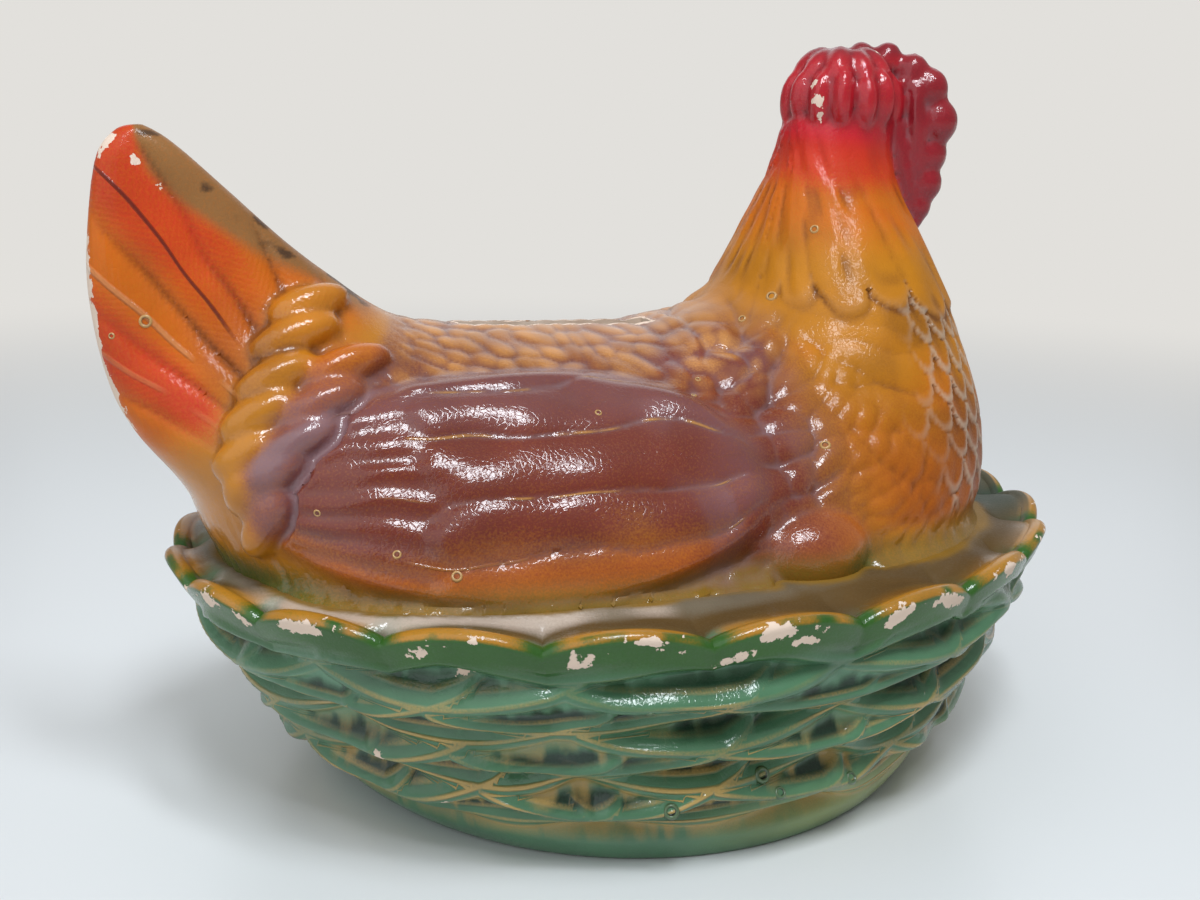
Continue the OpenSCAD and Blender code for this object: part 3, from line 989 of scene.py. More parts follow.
    def head_lobes(self) -> list[Lobe]:
        """Comb, wattles, beak and eyes, as lobes about the turned head.

        Returns:
            The lobes in the part's frame.
        """
        ahead, up = (1.0, 0, 0), np.array([0, 0, 1.0])
        nape = np.array([-4.9, 3.8, 0])
        rows = [Lobe((3.5, 0, 0.5), ahead, up, (10.0, 9.5, 9.0), Part.CHEEK)]
        for k, angle in enumerate(self.comb_fingers):
            out = np.array([math.cos(math.radians(angle)), math.sin(math.radians(angle)), 0])
            rows.append(Lobe(nape + out * 10.4 + up * (2.0 + 0.7 * (k % 2)), up - 0.05 * out, out,
                             (6.4 + 0.5 * (k % 3), 2.7, 4.3), Part.COMB))
        for k, angle in enumerate(self.comb_tips):
            out = np.array([math.cos(math.radians(angle)), math.sin(math.radians(angle)), 0])
            rows.append(Lobe(nape + out * 7.0 + up * (9.2 + 0.6 * (k % 2)), up - 1.0 * out, out,
                             (5.8, 3.1, 3.7), Part.COMB))
        rows += [Lobe((x, y, z), ahead, up, (size * 0.9, size * 0.8, size), Part.COMB)
                 for x, y, z, size in self.comb_crown]
        for side in (1, -1):
            rows += [Lobe((x, side * y, z), up, (0, side, 0), (long, thick, thick), Part.CHEEK)
                     for x, y, z, long, thick in self.wattle_beads]
            rows += [Lobe((x, side * y, z), up, ahead, (long, wide, 3.6), Part.CHEEK)
                     for x, y, z, long, wide in self.wattle_sheets]
            rows += [Lobe((x, side * y, z), (0.1, side * lean, -1), (-1.0, 0, 0), (long, thick, 2.2),
                          Part.CHEEK) for x, y, z, long, thick, lean in self.wattle_folds]
            rows.append(Lobe((11.2, side * 8.4, 4.6), (0, side, 0), up, (2.4, 3.0, 3.0), Part.EYE))
        rows.append(Lobe((15, 0, 0), (1.0, 0, -0.42), up, (10.5, 5.4, 5.0), Part.BEAK))
        rows.append(Lobe((14, 0, -5), (1.0, 0, -0.2), up, (8.0, 4.2, 3.0), Part.BEAK))
        turn = np.array(Matrix.Rotation(math.radians(self.head_turn), 3, "Z"))
        at = np.array(self.head_at)
        return [Lobe(at + turn @ np.array(lobe.place), turn @ np.array(lobe.axis), turn @ np.array(lobe.out),
                     lobe.half, lobe.part) for lobe in rows]

    def locate(self, points: Array) -> Spots:
        """Find the skin under each point.

        Args:
            points: Points on or near the skin.

        Returns:
            The points with their places on the skin.
        """
        t, a = np.meshgrid(self.grid_t, self.grid_a, indexing="ij")
        grid = self.skin(t, a)
        along = np.gradient(grid, axis=0)
        about = (np.roll(grid, -1, 1) - np.roll(grid, 1, 1)) / 2
        flat, along, about = (rows.reshape(-1, 3) for rows in (grid, along, about))
        tree = point_tree(flat)
        near = np.array([tree.find(point)[1] for point in points])
        away, p, q = points - flat[near], along[near], about[near]
        pp, qq, pq = (p * p).sum(1) + 1e-9, (q * q).sum(1) + 1e-9, (p * q).sum(1)
        ap, aq = (away * p).sum(1), (away * q).sum(1)
        det = np.maximum(pp * qq - pq * pq, 1e-9)
        u, v = np.clip((ap * qq - aq * pq) / det, -1, 1), np.clip((aq * pp - ap * pq) / det, -1, 1)
        rib = t.ravel()[near] + u * (self.grid_t[1] - self.grid_t[0])
        angle = np.degrees(a.ravel()[near] + v * (self.grid_a[1] - self.grid_a[0]))
        lift = (away * unit(np.cross(p, q))).sum(1)
        return Spots(points, rib, np.minimum(np.abs(angle), np.abs(360 - angle)), lift)

    def wing_place(self, points: Array) -> tuple[Array, Array, Array]:
        """Place on the wing, whose outline is a full oval.

        Args:
            points: Points of the skin.

        Returns:
            How far out of the oval, along it and across its feathers each point lies, with 1 at the edge.
        """
        full = 2.3
        p = (points[:, 0] - self.wing_at[0]) / self.wing_half[0]
        z = (points[:, 2] - self.wing_at[1]) / self.wing_half[1]
        reach = (np.abs(p) ** full + np.abs(z) ** full) ** (1 / full)
        local = np.maximum(1 - np.abs(np.clip(p, -1, 1)) ** full, 0.05) ** (1 / full)
        return reach, p, z / local

    def wing_relief(self, points: Array) -> tuple[Array, Array, Array]:
        """Height of the wing: a raised oval with long quills and shorter coverts over them.

        Args:
            points: Points of the smooth skin.

        Returns:
            Height in millimetres, the wing's mask and the offset from the nearest crease.
        """
        reach, p, q = self.wing_place(points)
        wobble = 0.3 * (value_noise(points, 30, 3) - 0.5) + 0.12 * (value_noise(points, 9, 4) - 0.5)
        front = np.zeros(len(points))
        crease = np.full(len(points), 9.0)
        for cut in self.wing_cuts[1:-1]:
            off = (q + wobble - cut) * self.wing_half[1]
            crease = np.where(np.abs(off) < np.abs(crease), off, crease)
        for low, high in zip(self.wing_cuts, self.wing_cuts[1:]):
            s = np.clip((q + wobble - low) / (high - low), 0, 1)
            pillow = (4 * s * (1 - s)) ** 0.7
            tip = p + 0.4 * wobble + 0.36 + 0.09 * pillow
            front = np.maximum(front, pillow * ease(tip, 0.0, 0.1) * min(1.0, (high - low) / 0.4))
        quill = 0.5 + 0.5 * np.cos(2 * np.pi * (q + 0.8 * wobble - 0.67) / 0.26)
        rear = ease(p + 0.4 * wobble, -0.3, -0.42)
        lumps = value_noise(points * np.array([0.8, 1, 1]), 9, 6) - 0.5
        patchy = 0.2 + 1.5 * value_noise(points, 7, 9)
        fine = 1.1 * front - 0.7 + rear * (0.5 * patchy * quill - 0.1) + 2.0 * lumps
        wing = ease(reach + 0.12 * wobble, 1.05, 0.84)
        return wing * (self.wing_raise + ease(np.abs(p), 1.0, 0.75) * fine - 0.3), wing, crease

    def tail_place(self, points: Array) -> tuple[Array, Array]:
        """Angle in degrees and distance of each point about the tail's pivot."""
        x, z = self.tail_pivot[0] - points[:, 0], points[:, 2] - self.tail_pivot[1]
        return np.degrees(np.arctan2(z, x)), np.hypot(x, z)

    def relief(self, spots: Spots) -> Masks:
        """Height of every kind of feather above the smooth skin.

        Args:
            spots: Points of the smooth shell.

        Returns:
            Heights in millimetres under "height", and masks of the zones and rims.
        """
        x, _, z = spots.points.T
        warp = value_noise(spots.points, 9, 11) - 0.5
        wing_height, wing, crease = self.wing_relief(spots.points)
        zones = self.tail_relief(spots, warp) | self.breast_relief(spots, warp)
        zones |= self.neck_relief(spots, zones["turn"], warp)
        cape, shoulder = zones["cape"], zones["shoulder"]
        # Back: small ragged flecks that lie along the hen
        back = ease(spots.rib, 5.3, 6.0) * ease(spots.rib, 11.2, 10.2) * (1 - wing)
        flecks = bumps(x / 5.0 + 1.2 * warp, (spots.fold * 0.5 + 3 * warp) / 2.6, 7)
        back_height = back * 0.8 * (flecks - 0.6) * (1 - shoulder)
        # Cove that runs the skin out into the bed, but not at the rump
        up = np.clip(z - self.bed, 0, self.cove)
        run_out = self.cove - np.sqrt(np.maximum(self.cove ** 2 - (self.cove - up) ** 2, 0))
        run_out = run_out * (1 - ease(x, -72, -86))
        feathers = zones["breast_height"] * (1 - cape) + zones["neck_height"] + back_height
        height = wing_height + zones["tail_height"] + feathers * (1 - wing) + run_out
        return zones | {"height": height, "wing": wing, "crease": crease, "back": back,
                        "back_top": back * flecks, "front": zones["front"] * zones["breast"],
                        "breast_rim": zones["breast_rim"] * zones["breast"] * (1 - cape)}

    def tail_relief(self, spots: Spots, warp: Array) -> Masks:
        """Tail: three broad feathers a side, each with a sunken shaft.

        Args:
            spots: Points of the smooth shell.
            warp: Noise that loosens the pattern.

        Returns:
            Height in millimetres, masks, and the places that the shafts and barbs are drawn by.
        """
        feather = 11.0
        spread, reach = self.tail_place(spots.points)
        tail = ease(spots.rib, 5.2, 4.2) * ease(spots.rib, 0.3, 1.2)
        place = (spread + 1.2 * warp - 50.5) / feather
        part = place - np.floor(place)
        arc = (part - 0.5) * np.radians(feather) * reach
        height = tail * np.sin(np.radians(spots.fold)) * (1.3 * (1 - np.abs(2 * part - 1) ** 3) - 0.7)
        shaft = tail * band(reach, 40, 48, 80, 86) * band(spread, 51, 53, 59, 61)
        ridge = tail * band(reach, 28, 36, 82, 90)
        ridge = ridge * (band(spread, 40, 42, 48, 50) + 0.6 * band(spread, 29, 31, 37, 39))
        return {"tail_height": height, "tail": tail, "spread": spread, "reach": reach, "quill": arc,
                "shaft": shaft, "ridge": ridge, "barb": (reach - 1.1 * np.abs(arc)) / 0.25}

    def breast_relief(self, spots: Spots, warp: Array) -> Masks:
        """Breast: crisp round feathers in front, soft bumps on the side, strong bumps on the shoulder.

        Args:
            spots: Points of the smooth shell.
            warp: Noise that loosens the pattern.

        Returns:
            Height in millimetres, masks, and the angle about the breast's axis.
        """
        axis_x = 48.0
        x, y, z = spots.points.T
        turn = np.degrees(np.arctan2(np.abs(y), x - axis_x))
        arc = np.radians(turn) * np.maximum(np.hypot(x - axis_x, y), 12)
        breast = ease(spots.rib, 9.2, 10.4) * ease(spots.rib, 14.6, 13.6)
        breast *= ease(z, self.bed + 3, self.bed + 9)
        front = ease(turn + 14 * warp, 84, 64)
        shoulder = band(x + 6 * warp, 8, 16, 30, 37) * band(z, 64, 70, 101, 107)
        scale, rim = scales(turn / 9.5 + 0.25 * warp, (128 - z) / 6.2 + 0.3 * warp)
        soft = bumps(arc / 10 + 0.6 * warp, z / 10 + 0.6 * warp, 2)
        loose = 0.8 * (value_noise(spots.points, 14, 12) - 0.5)
        knobs = bumps(x / 9.0 + 0.7 * warp, spots.fold / 8.6 + loose, 4)
        flank = (1 - front) * ease(turn, 120, 95) * 1.3 * (soft - 0.6)
        height = breast * (front * 0.8 * (scale - 0.4) + flank)
        height = height * (1 - shoulder) + shoulder * 2.6 * (knobs - 0.5)
        return {"breast_height": height, "breast": breast, "front": front, "breast_rim": rim,
                "shoulder": shoulder, "turn": turn}

    def neck_relief(self, spots: Spots, turn: Array, warp: Array) -> Masks:
        """Neck: a cape of long hackle feathers that ends in round tips over the shoulder.

        Args:
            spots: Points of the smooth shell.
            turn: Angle of each point about the breast's axis in degrees.
            warp: Noise that loosens the pattern.

        Returns:
            Height in millimetres and masks.
        """
        z = spots.points[:, 2]
        neck = ease(spots.rib, 10.6, 11.6) * ease(spots.rib, 16.6, 15.6)
        lock = turn / 21 + 0.35 * warp
        tip = 2 * (lock - np.floor(lock)) - 1
        end = 106 + 5 * lottery(np.floor(lock), 3.0) - 6 * np.sqrt(np.clip(1 - tip * tip, 0, 1))
        cape = neck * ease(z - end, -1.2, 1.0)
        strand = value_noise(np.stack([np.radians(turn) * 9, z / 8, 0 * z], -1), 1.0, 19)
        height = cape * (0.9 * ease(z, 140, 118) + 0.9 * (strand - 0.5) - 0.2 * np.abs(tip) ** 6)
        return {"neck_height": height, "neck": neck, "cape": cape, "strand": strand * cape,
                "cape_rim": neck * np.exp(-((z - end - 0.6) / 0.9) ** 2),
                "cape_foot": neck * np.exp(-((z - end + 1.1) / 0.9) ** 2)}

    def outside(self, finish: bpy.types.Material) -> tuple[bpy.types.Object, Masks]:
        """Grow skin and lobes into one shell and raise its feathers.

        Args:
            finish: Material of the hen.

        Returns:
            The solid shell and the paint masks of its points.
        """
        t, a = np.meshgrid(self.grid_t, self.grid_a, indexing="ij")
        points = self.skin(t, a)
        rows, columns = points.shape[:2]
        studs, parts = self.lobes()
        lobes = studs.build(unit_ball(14, 22), finish)
        lobe_points = points_of(lobes.data)
        lobe_faces = [[v + rows * columns for v in face.vertices] for face in lobes.data.polygons]
        shell = new_object("hen", new_mesh("hen", np.vstack([points.reshape(-1, 3), lobe_points]),
                                           tube_faces(rows, columns) + lobe_faces))
        bpy.data.objects.remove(lobes)
        remesh = shell.modifiers.new("one_skin", "REMESH")
        remesh.mode, remesh.voxel_size = "VOXEL", self.voxel * MM
        bake_modifiers(shell)
        edges = edges_of(shell.data)
        base = soften(points_of(shell.data), edges, 2)
        move_points(shell.data, base)
        spots = self.locate(base)
        owner = self.owners(spots, lobe_points, np.repeat(parts, len(lobe_points) // len(parts)))
        # Strands melt a little and the knob a lot into the skin, and the rump draws in over the bed
        for melted, rounds in (((Part.ROPE, Part.SADDLE), 2), ((Part.KNOB,), 30)):
            share = soften(np.isin(owner, melted).astype(float), edges, 2 * rounds)[:, None]
            base += share * (soften(base, edges, rounds) - base)
        tuck = ease(base[:, 0], -66, -88)
        tuck *= band(base[:, 2], self.bed - 9, self.bed + 3, self.bed + 12, self.bed + 28)
        base[:, 0] += self.rump_tuck * tuck
        move_points(shell.data, base)
        relief = self.relief(replace(spots, points=base))
        bare = soften((owner == Part.SKIN).astype(float), edges, 6)
        raised = base + normals_of(shell.data) * (relief["height"] * bare)[:, None]
        move_points(shell.data, raised)
        bend = ((neighbour_mean(raised, edges) - raised) * normals_of(shell.data)).sum(1)
        return shell, self.paint(replace(spots, points=raised), owner, relief, soften(bend, edges, 2), edges)

    def owners(self, spots: Spots, lobe_points: Array, lobe_parts: Array) -> Array:
        """Part that each point belongs to.

        Args:
            spots: Points of the smooth shell.
            lobe_points: Points of all lobes.
            lobe_parts: Part of each of those points.

        Returns:
            One Part number for each point.
        """
        clear_of_skin, head_rib, touch = 0.35, 16.3, 2.5
        tree = point_tree(lobe_points)
        owner = np.zeros(len(spots.points), dtype=int)
        for k in np.flatnonzero((spots.lift > clear_of_skin) | (spots.rib > head_rib)):
            _, near, gap = tree.find(spots.points[k])
            if gap < touch:
                owner[k] = lobe_parts[near]
        return owner

    def paint(self, spots: Spots, owner: Array, relief: Masks, bend: Array,
              edges: Array) -> Masks:
        """Masks of the airbrushed coats, of wear and of chips.

        Args:
            spots: Points of the finished shell.
            owner: Part of each point.
            relief: Zones and rims of the feathers.
            bend: Hollowness of the surface, positive in hollows.
            edges: Pairs of neighbouring points.

        Returns:
            One mask for each coat.
        """
        z = spots.points[:, 2]
        drift = value_noise(spots.points, 22, 5) - 0.5
        hollow = np.clip(bend / 0.1, 0, 1)
        soft = {part: soften((owner == part).astype(float), edges, 3) for part in Part}
        soft |= {part: soften(soft[part], edges, 10) for part in (Part.ROPE, Part.SADDLE, Part.KNOB)}
        coats = self.tail_coats(spots, relief, soft, drift)
        coats |= self.body_coats(spots, relief, soft, drift, hollow)
        red_head = np.clip(soft[Part.COMB] + soft[Part.CHEEK], 0, 1)
        neck_glow = band(z + 3 * drift, 127, 134, 138, 143) * ease(spots.rib, 12.2, 13.2)
        umber = coats["umber"] * (1 - red_head) + 0.6 * soft[Part.COMB] * ease(z + 3 * drift, 158, 162)
        # The comb's hollows are darkened with wine as painted shade; the cheeks and the comb's top take it as
        # their own darker red
        wine = 0.85 * soft[Part.CHEEK] + soft[Part.COMB] * (0.25 + 0.9 * hollow + ease(z, 158, 163))
        return coats | {
            "maroon": coats["maroon"] * (1 - red_head),
            "umber": np.clip(umber, 0, 1),
            "crimson": np.clip(red_head + self.neck_red(spots, drift) * (1 - soft[Part.BEAK]), 0, 1),
            "wine": np.clip(wine, 0, 1),
            "scarlet": np.clip(coats["scarlet"] + 0.75 * neck_glow, 0, 1) * (1 - red_head),
            # Painted highlight: the sheen is pale reflection painted along the rims of the breast's scales
            # and, faintly, the cape's tips
            "sheen": np.clip(relief["breast_rim"] * relief["front"] + 0.12 * relief["cape_rim"], 0, 1),
            "horn": soft[Part.BEAK],
            "eye": soft[Part.EYE],
            "chip": self.chips(spots),
            "varnish": 0.85 - 0.62 * coats["varnish"] * (1 - red_head),
        }

    def tail_zone(self, spots: Spots) -> Array:
        """Share of the tail's colours at each point."""
        return ease(spots.rib, 5.3, 4.5)

    def neck_red(self, spots: Spots, drift: Array) -> Array:
        """Share of the red that runs from the head down the neck."""
        return ease(spots.points[:, 2] + 3 * drift, 129, 141) * ease(spots.rib, 12.2, 13.2)

    def tail_coats(self, spots: Spots, relief: Masks, soft: dict[Part, Array],
                   drift: Array) -> Masks:
        """Coats of the tail: a tan strip down its back, scarlet on two feathers, and the drawn shafts.

        Args:
            spots: Points of the finished shell.
            relief: Zones and rims of the feathers.
            soft: Softened masks of the parts.
            drift: Noise that loosens the coats' edges.

        Returns:
            One mask for each coat, and the offsets that the lines are drawn by.
        """
        tail, points = self.tail_zone(spots), spots.points
        spread, reach = relief["spread"] + 8 * drift, relief["reach"]
        strip_end = np.clip(65 - 25 * (spots.rib - 2.4), 28, 90)
        strip = tail * ease(spots.fold - strip_end, 8, -12)
        upper_red = band(spread, 48, 54, 63, 70) * ease(reach, 40, 62)
        lower_red = band(spread, 26, 33, 38, 44) * ease(reach, 24, 40)
        scarlet = tail * np.clip(upper_red + lower_red, 0, 1) * (1 - strip)
        return {
            "tan": strip,
            "scarlet": (0.75 + 0.5 * drift) * scarlet * (1 - soft[Part.ROPE]),
            "shaft": relief["shaft"] * (1 - strip),
            "ridge": relief["ridge"] * (1 - strip) * ease(value_noise(points, 7, 46), 0.2, 0.6),
            "quill": relief["quill"],
            "speck": strip * ease(value_noise(points * np.array([0.5, 1, 1]), 2.6, 21), 0.7, 0.8),
            "barb": relief["barb"],
            "barbed": relief["tail"] * (1 - strip),
        }

    def body_coats(self, spots: Spots, relief: Masks, soft: dict[Part, Array], drift: Array,
                   hollow: Array) -> Masks:
        """Coats of wings, back, shoulders, neck and breast, which run into each other and into the tail.

        Args:
            spots: Points of the finished shell.
            relief: Zones and rims of the feathers.
            soft: Softened masks of the parts.
            drift: Noise that loosens the coats' edges.
            hollow: Mask of the hollows, where brown is laid as painted shade and greyish pink is laid too.

        Returns:
            One mask for each coat, and the share of worn varnish under "varnish".
        """
        points, rib, fold = spots.points, spots.rib, spots.fold
        x, _, z = points.T
        fine = value_noise(points, 4, 8) - 0.5
        wing, neck, breast, tail = relief["wing"], relief["neck"], relief["breast"], self.tail_zone(spots)
        rope, saddle, knob = soft[Part.ROPE], soft[Part.SADDLE], soft[Part.KNOB]
        _, p, q = self.wing_place(points)
        reach = relief["reach"]
        # Zones that several coats share
        shoulder = ease(x + 14 * drift, 40, 18) * ease(rib, 7.6, 8.8) * ease(z + 8 * drift, 104, 92)
        shoulder *= 1 - 0.6 * knob
        low_wing = wing * ease(q + 0.4 * drift, -0.2, -0.86)
        skirt = ease(z + 3 * drift, self.bed + 7, self.bed + 0.8)
        back = np.clip(relief["back"] + ease(rib, 5.2, 5.6) * ease(rib, 11, 10) * ease(fold, 60, 35), 0, 1)
        back *= ease(fold + 20 * drift, 95, 72) * ease(x + 12 * drift, 36, 18)
        # Dark coats: maroon on wing, shoulder and back; umber as painted shade in the hollows; mauve in the
        # hollows, and as painted sheen on the wing's upper part
        maroon = np.max([wing * (1 - 0.7 * low_wing), 0.95 * shoulder,
                         back * ease(z + 9 * drift, 104, 93) * 0.8, 0.75 * saddle * ease(z, 104, 90),
                         0.6 * knob * ease(x, 30, 18)], axis=0)
        dust = 0.6 * ease(value_noise(points, 11, 41), 0.5, 0.8) * wing * ease(p, 0.1, 0.5)
        dust *= ease(q, 0.2, -0.2)
        amber = neck * (1 - self.neck_red(spots, drift)) + breast * (1 - relief["shoulder"])
        tail_root = tail * band(relief["spread"] + 8 * drift, 40, 48, 62, 72) * band(reach, 26, 34, 42, 56)
        hackle = neck * ease(relief["strand"], 0.36, 0.16) * ease(value_noise(points, 15, 52), 0.4, 0.6)
        # Umber: painted shade in the hollows and in the crease under the cape's tips, darker towards the
        # bottom of the breast, with dark streaks on the hackles and a darker band at the tail's root
        umber = hollow * (0.45 * amber + 0.6 * rope + 0.5 * wing + 0.8 * tail + 0.8 * back) + 0.35 * tail_root
        umber += 0.4 * relief["cape_foot"] + 0.4 * hackle + 0.5 * breast * ease(z + 8 * drift, 98, 66)
        mauve = hollow * (0.35 * wing + 0.5 * back + 0.4 * saddle + 0.15 * relief["shoulder"])
        mauve += 0.5 * soft[Part.CHEEK] * ease(hollow, 0.3, 0.9) + 0.4 * saddle * ease(z, 98, 90)
        # Painted sheen: paler mauve along the wing's upper rear edge and over its upper feathers, where the
        # gloss would reflect
        mauve += 0.6 * band(wing, 0.02, 0.2, 0.5, 0.9) * ease(z, 72, 82) * ease(x, 0, -25)
        mauve += 0.3 * wing * ease(q, 0.45, 0.9)
        mauve += 0.3 * shoulder * ease(value_noise(points, 8, 49), 0.5, 0.75)
        mauve += 0.35 * wing * ease(p + 0.5 * drift, 0.45, 0.85) * ease(q, -0.6, -0.2)
        # Warm coats: orange where the ground glows, gilt and flecks on the raised edges
        orange = tail * (0.95 - 0.6 * ease(reach, 44, 30)) * (1 - 0.8 * rope) + 0.9 * low_wing
        orange += 0.75 * neck * ease(z, 112, 126) + 0.8 * breast * ease(z, 94, 66)
        orange += 0.4 * breast * ease(value_noise(points, 13, 48), 0.5, 0.75) + 0.6 * saddle + 0.6 * knob
        gilt = wing * ease(value_noise(points, 12, 43), 0.45, 0.65)
        gilt *= ease(value_noise(points, 3, 45), 0.4, 0.7)
        gilt *= ease(p, -0.8, -0.5)
        fleck = back * ease(relief["back_top"], 0.5, 1.0) * (0.6 + fine) * ease(z, 84, 96)
        green = tail * ease(z, 79, 68) + 0.7 * skirt * (ease(x, -70, -85) + knob * ease(x, 24, 34))
        olive = 0.9 * skirt + 0.7 * low_wing * ease(q, -0.85, -1.1)
        worn = tail * (1 - rope) + neck + breast * (1 - shoulder)
        shares = {"orange": orange, "umber": umber, "olive": olive, "green": green, "mauve": mauve,
                  "fleck": fleck, "varnish": worn}
        return {name: np.clip(values, 0, 1) for name, values in shares.items()} | {
            "back": back * (1 - tail), "maroon": maroon * (1 - 0.45 * dust), "gilt": gilt,
            "crease": relief["crease"]}

    def chips(self, spots: Spots) -> Array:
        """Places where the paint is off: known flakes, the slot's mouth and the tail's rear edge.

        Args:
            spots: Points of the finished shell.

        Returns:
            Chip mask from 0 to 1.
        """
        points, flaked = spots.points, np.zeros(len(spots.points))
        for x, y, z, size in self.flakes:
            gap = np.linalg.norm(points - np.array([x, y, z]), axis=1)
            flaked = np.maximum(flaked, ease(gap, size * 1.5, size * 0.4))
        wear = np.clip(flaked * 0.75 + 0.7 * self.slot_edge(points), 0, 1)
        rear_edge = self.tail_zone(spots) * ease(spots.fold, 158, 174)
        rear_edge *= band(points[:, 2], 78, 86, 118, 126)
        return np.clip(wear + rear_edge * 0.8, 0, 1)

    def slot_edge(self, points: Array) -> Array:
        """Worn band round the mouth of the coin slot.

        Args:
            points: Points of the finished shell.

        Returns:
            Mask from 0 to 1.
        """
        dx = np.maximum(self.slot_x[0] - points[:, 0], points[:, 0] - self.slot_x[1])
        dy = np.abs(points[:, 1]) - self.slot_half
        gap = np.hypot(np.maximum(dx, 0), np.maximum(dy, 0))
        return ease(gap, 1.6, 0.2) * ease(points[:, 2], 90, 94)

    def hollow(self, shell: bpy.types.Object) -> None:
        """Cut the coin chamber, the slot and the flat underside.

        Args:
            shell: Solid hen, which becomes a hollow one.
        """
        rows, columns = 26, 48
        t, a = np.meshgrid(np.linspace(*self.chamber_ribs, rows), np.arange(columns) * 2 * np.pi / columns,
                           indexing="ij")
        chamber = new_object("chamber", new_mesh("chamber", self.skin(t, a, self.wall).reshape(-1, 3),
                                                 tube_faces(rows, columns)))
        low, high = self.bed + self.height / 4, self.bed + self.height * 0.75
        slot = new_object("slot", box_mesh((self.slot_x[0], -self.slot_half, low),
                                           (self.slot_x[1], self.slot_half, high)))
        under = new_object("under", box_mesh((-200, -120, self.bed - 90), (200, 120, self.bed - self.sink)))
        for cutter in (chamber, slot, under):
            cut = shell.modifiers.new(cutter.name, "BOOLEAN")
            cut.operation, cut.object, cut.solver = "DIFFERENCE", cutter, "MANIFOLD"
            bake_modifiers(shell)
            bpy.data.objects.remove(cutter)
        drop_slivers(shell)

    def build(self) -> bpy.types.Object:
        """Build the hen.

        Returns:
            The finished piece, with its masks and materials.
        """
        paint, bare = HEN_PAINT.build(), BARE_CASTING.build()
        shell, masks = self.outside(paint)
        before = points_of(shell.data)
        self.hollow(shell)
        mesh = shell.data
        tree = point_tree(before)
        found = [tree.find(point) for point in points_of(mesh)]
        near, gap = np.array([hit[1] for hit in found]), np.array([hit[2] for hit in found])
        for name, values in masks.items():
            write_mask(mesh, name, values[near])
        mesh.materials.clear()
        mesh.materials.append(paint)
        mesh.materials.append(bare)
        centres = read_rows(mesh.polygons, "center", 3) / MM
        deep = np.array([tree.find(point)[2] > self.paint_depth for point in centres])
        corners = [max(gap[v] for v in face.vertices) > self.paint_depth for face in mesh.polygons]
        mesh.polygons.foreach_set("material_index", (deep | np.array(corners)).astype(np.int32))
        mesh.shade_smooth()
        mesh.set_sharp_from_angle(angle=math.radians(self.crease_angle))
        mesh.update()
        return shell


def drop_slivers(obj: bpy.types.Object) -> None:
    """Cut a mesh into triangles without the pairs that lie back to back along a cut.

    Args:
        obj: Piece whose mesh is cleaned.
    """
    mesh = obj.data
    mesh.calc_loop_triangles()
    triangles = read_rows(mesh.loop_triangles, "vertices", 3, np.int32)
    _, group, uses = np.unique(np.sort(triangles, axis=1), axis=0, return_inverse=True, return_counts=True)
    kept = triangles[uses[group.ravel()] == 1]
    used = np.unique(kept)
    obj.data = new_mesh(mesh.name, points_of(mesh)[used], np.searchsorted(used, kept).tolist())
    bpy.data.meshes.remove(mesh)


def box_mesh(low: Sequence[float], high: Sequence[float]) -> bpy.types.Mesh:
    """Box between two corners.

    Args:
        low: Lowest corner in millimetres.
        high: Highest corner in millimetres.

    Returns:
        The mesh of the box.
    """
    points = np.stack(np.meshgrid(*zip(low, high), indexing="ij"), -1).reshape(-1, 3)
    faces = [[0, 1, 3, 2], [4, 6, 7, 5], [0, 4, 5, 1], [2, 3, 7, 6], [0, 2, 6, 4], [1, 5, 7, 3]]
    return new_mesh("box", points, faces)


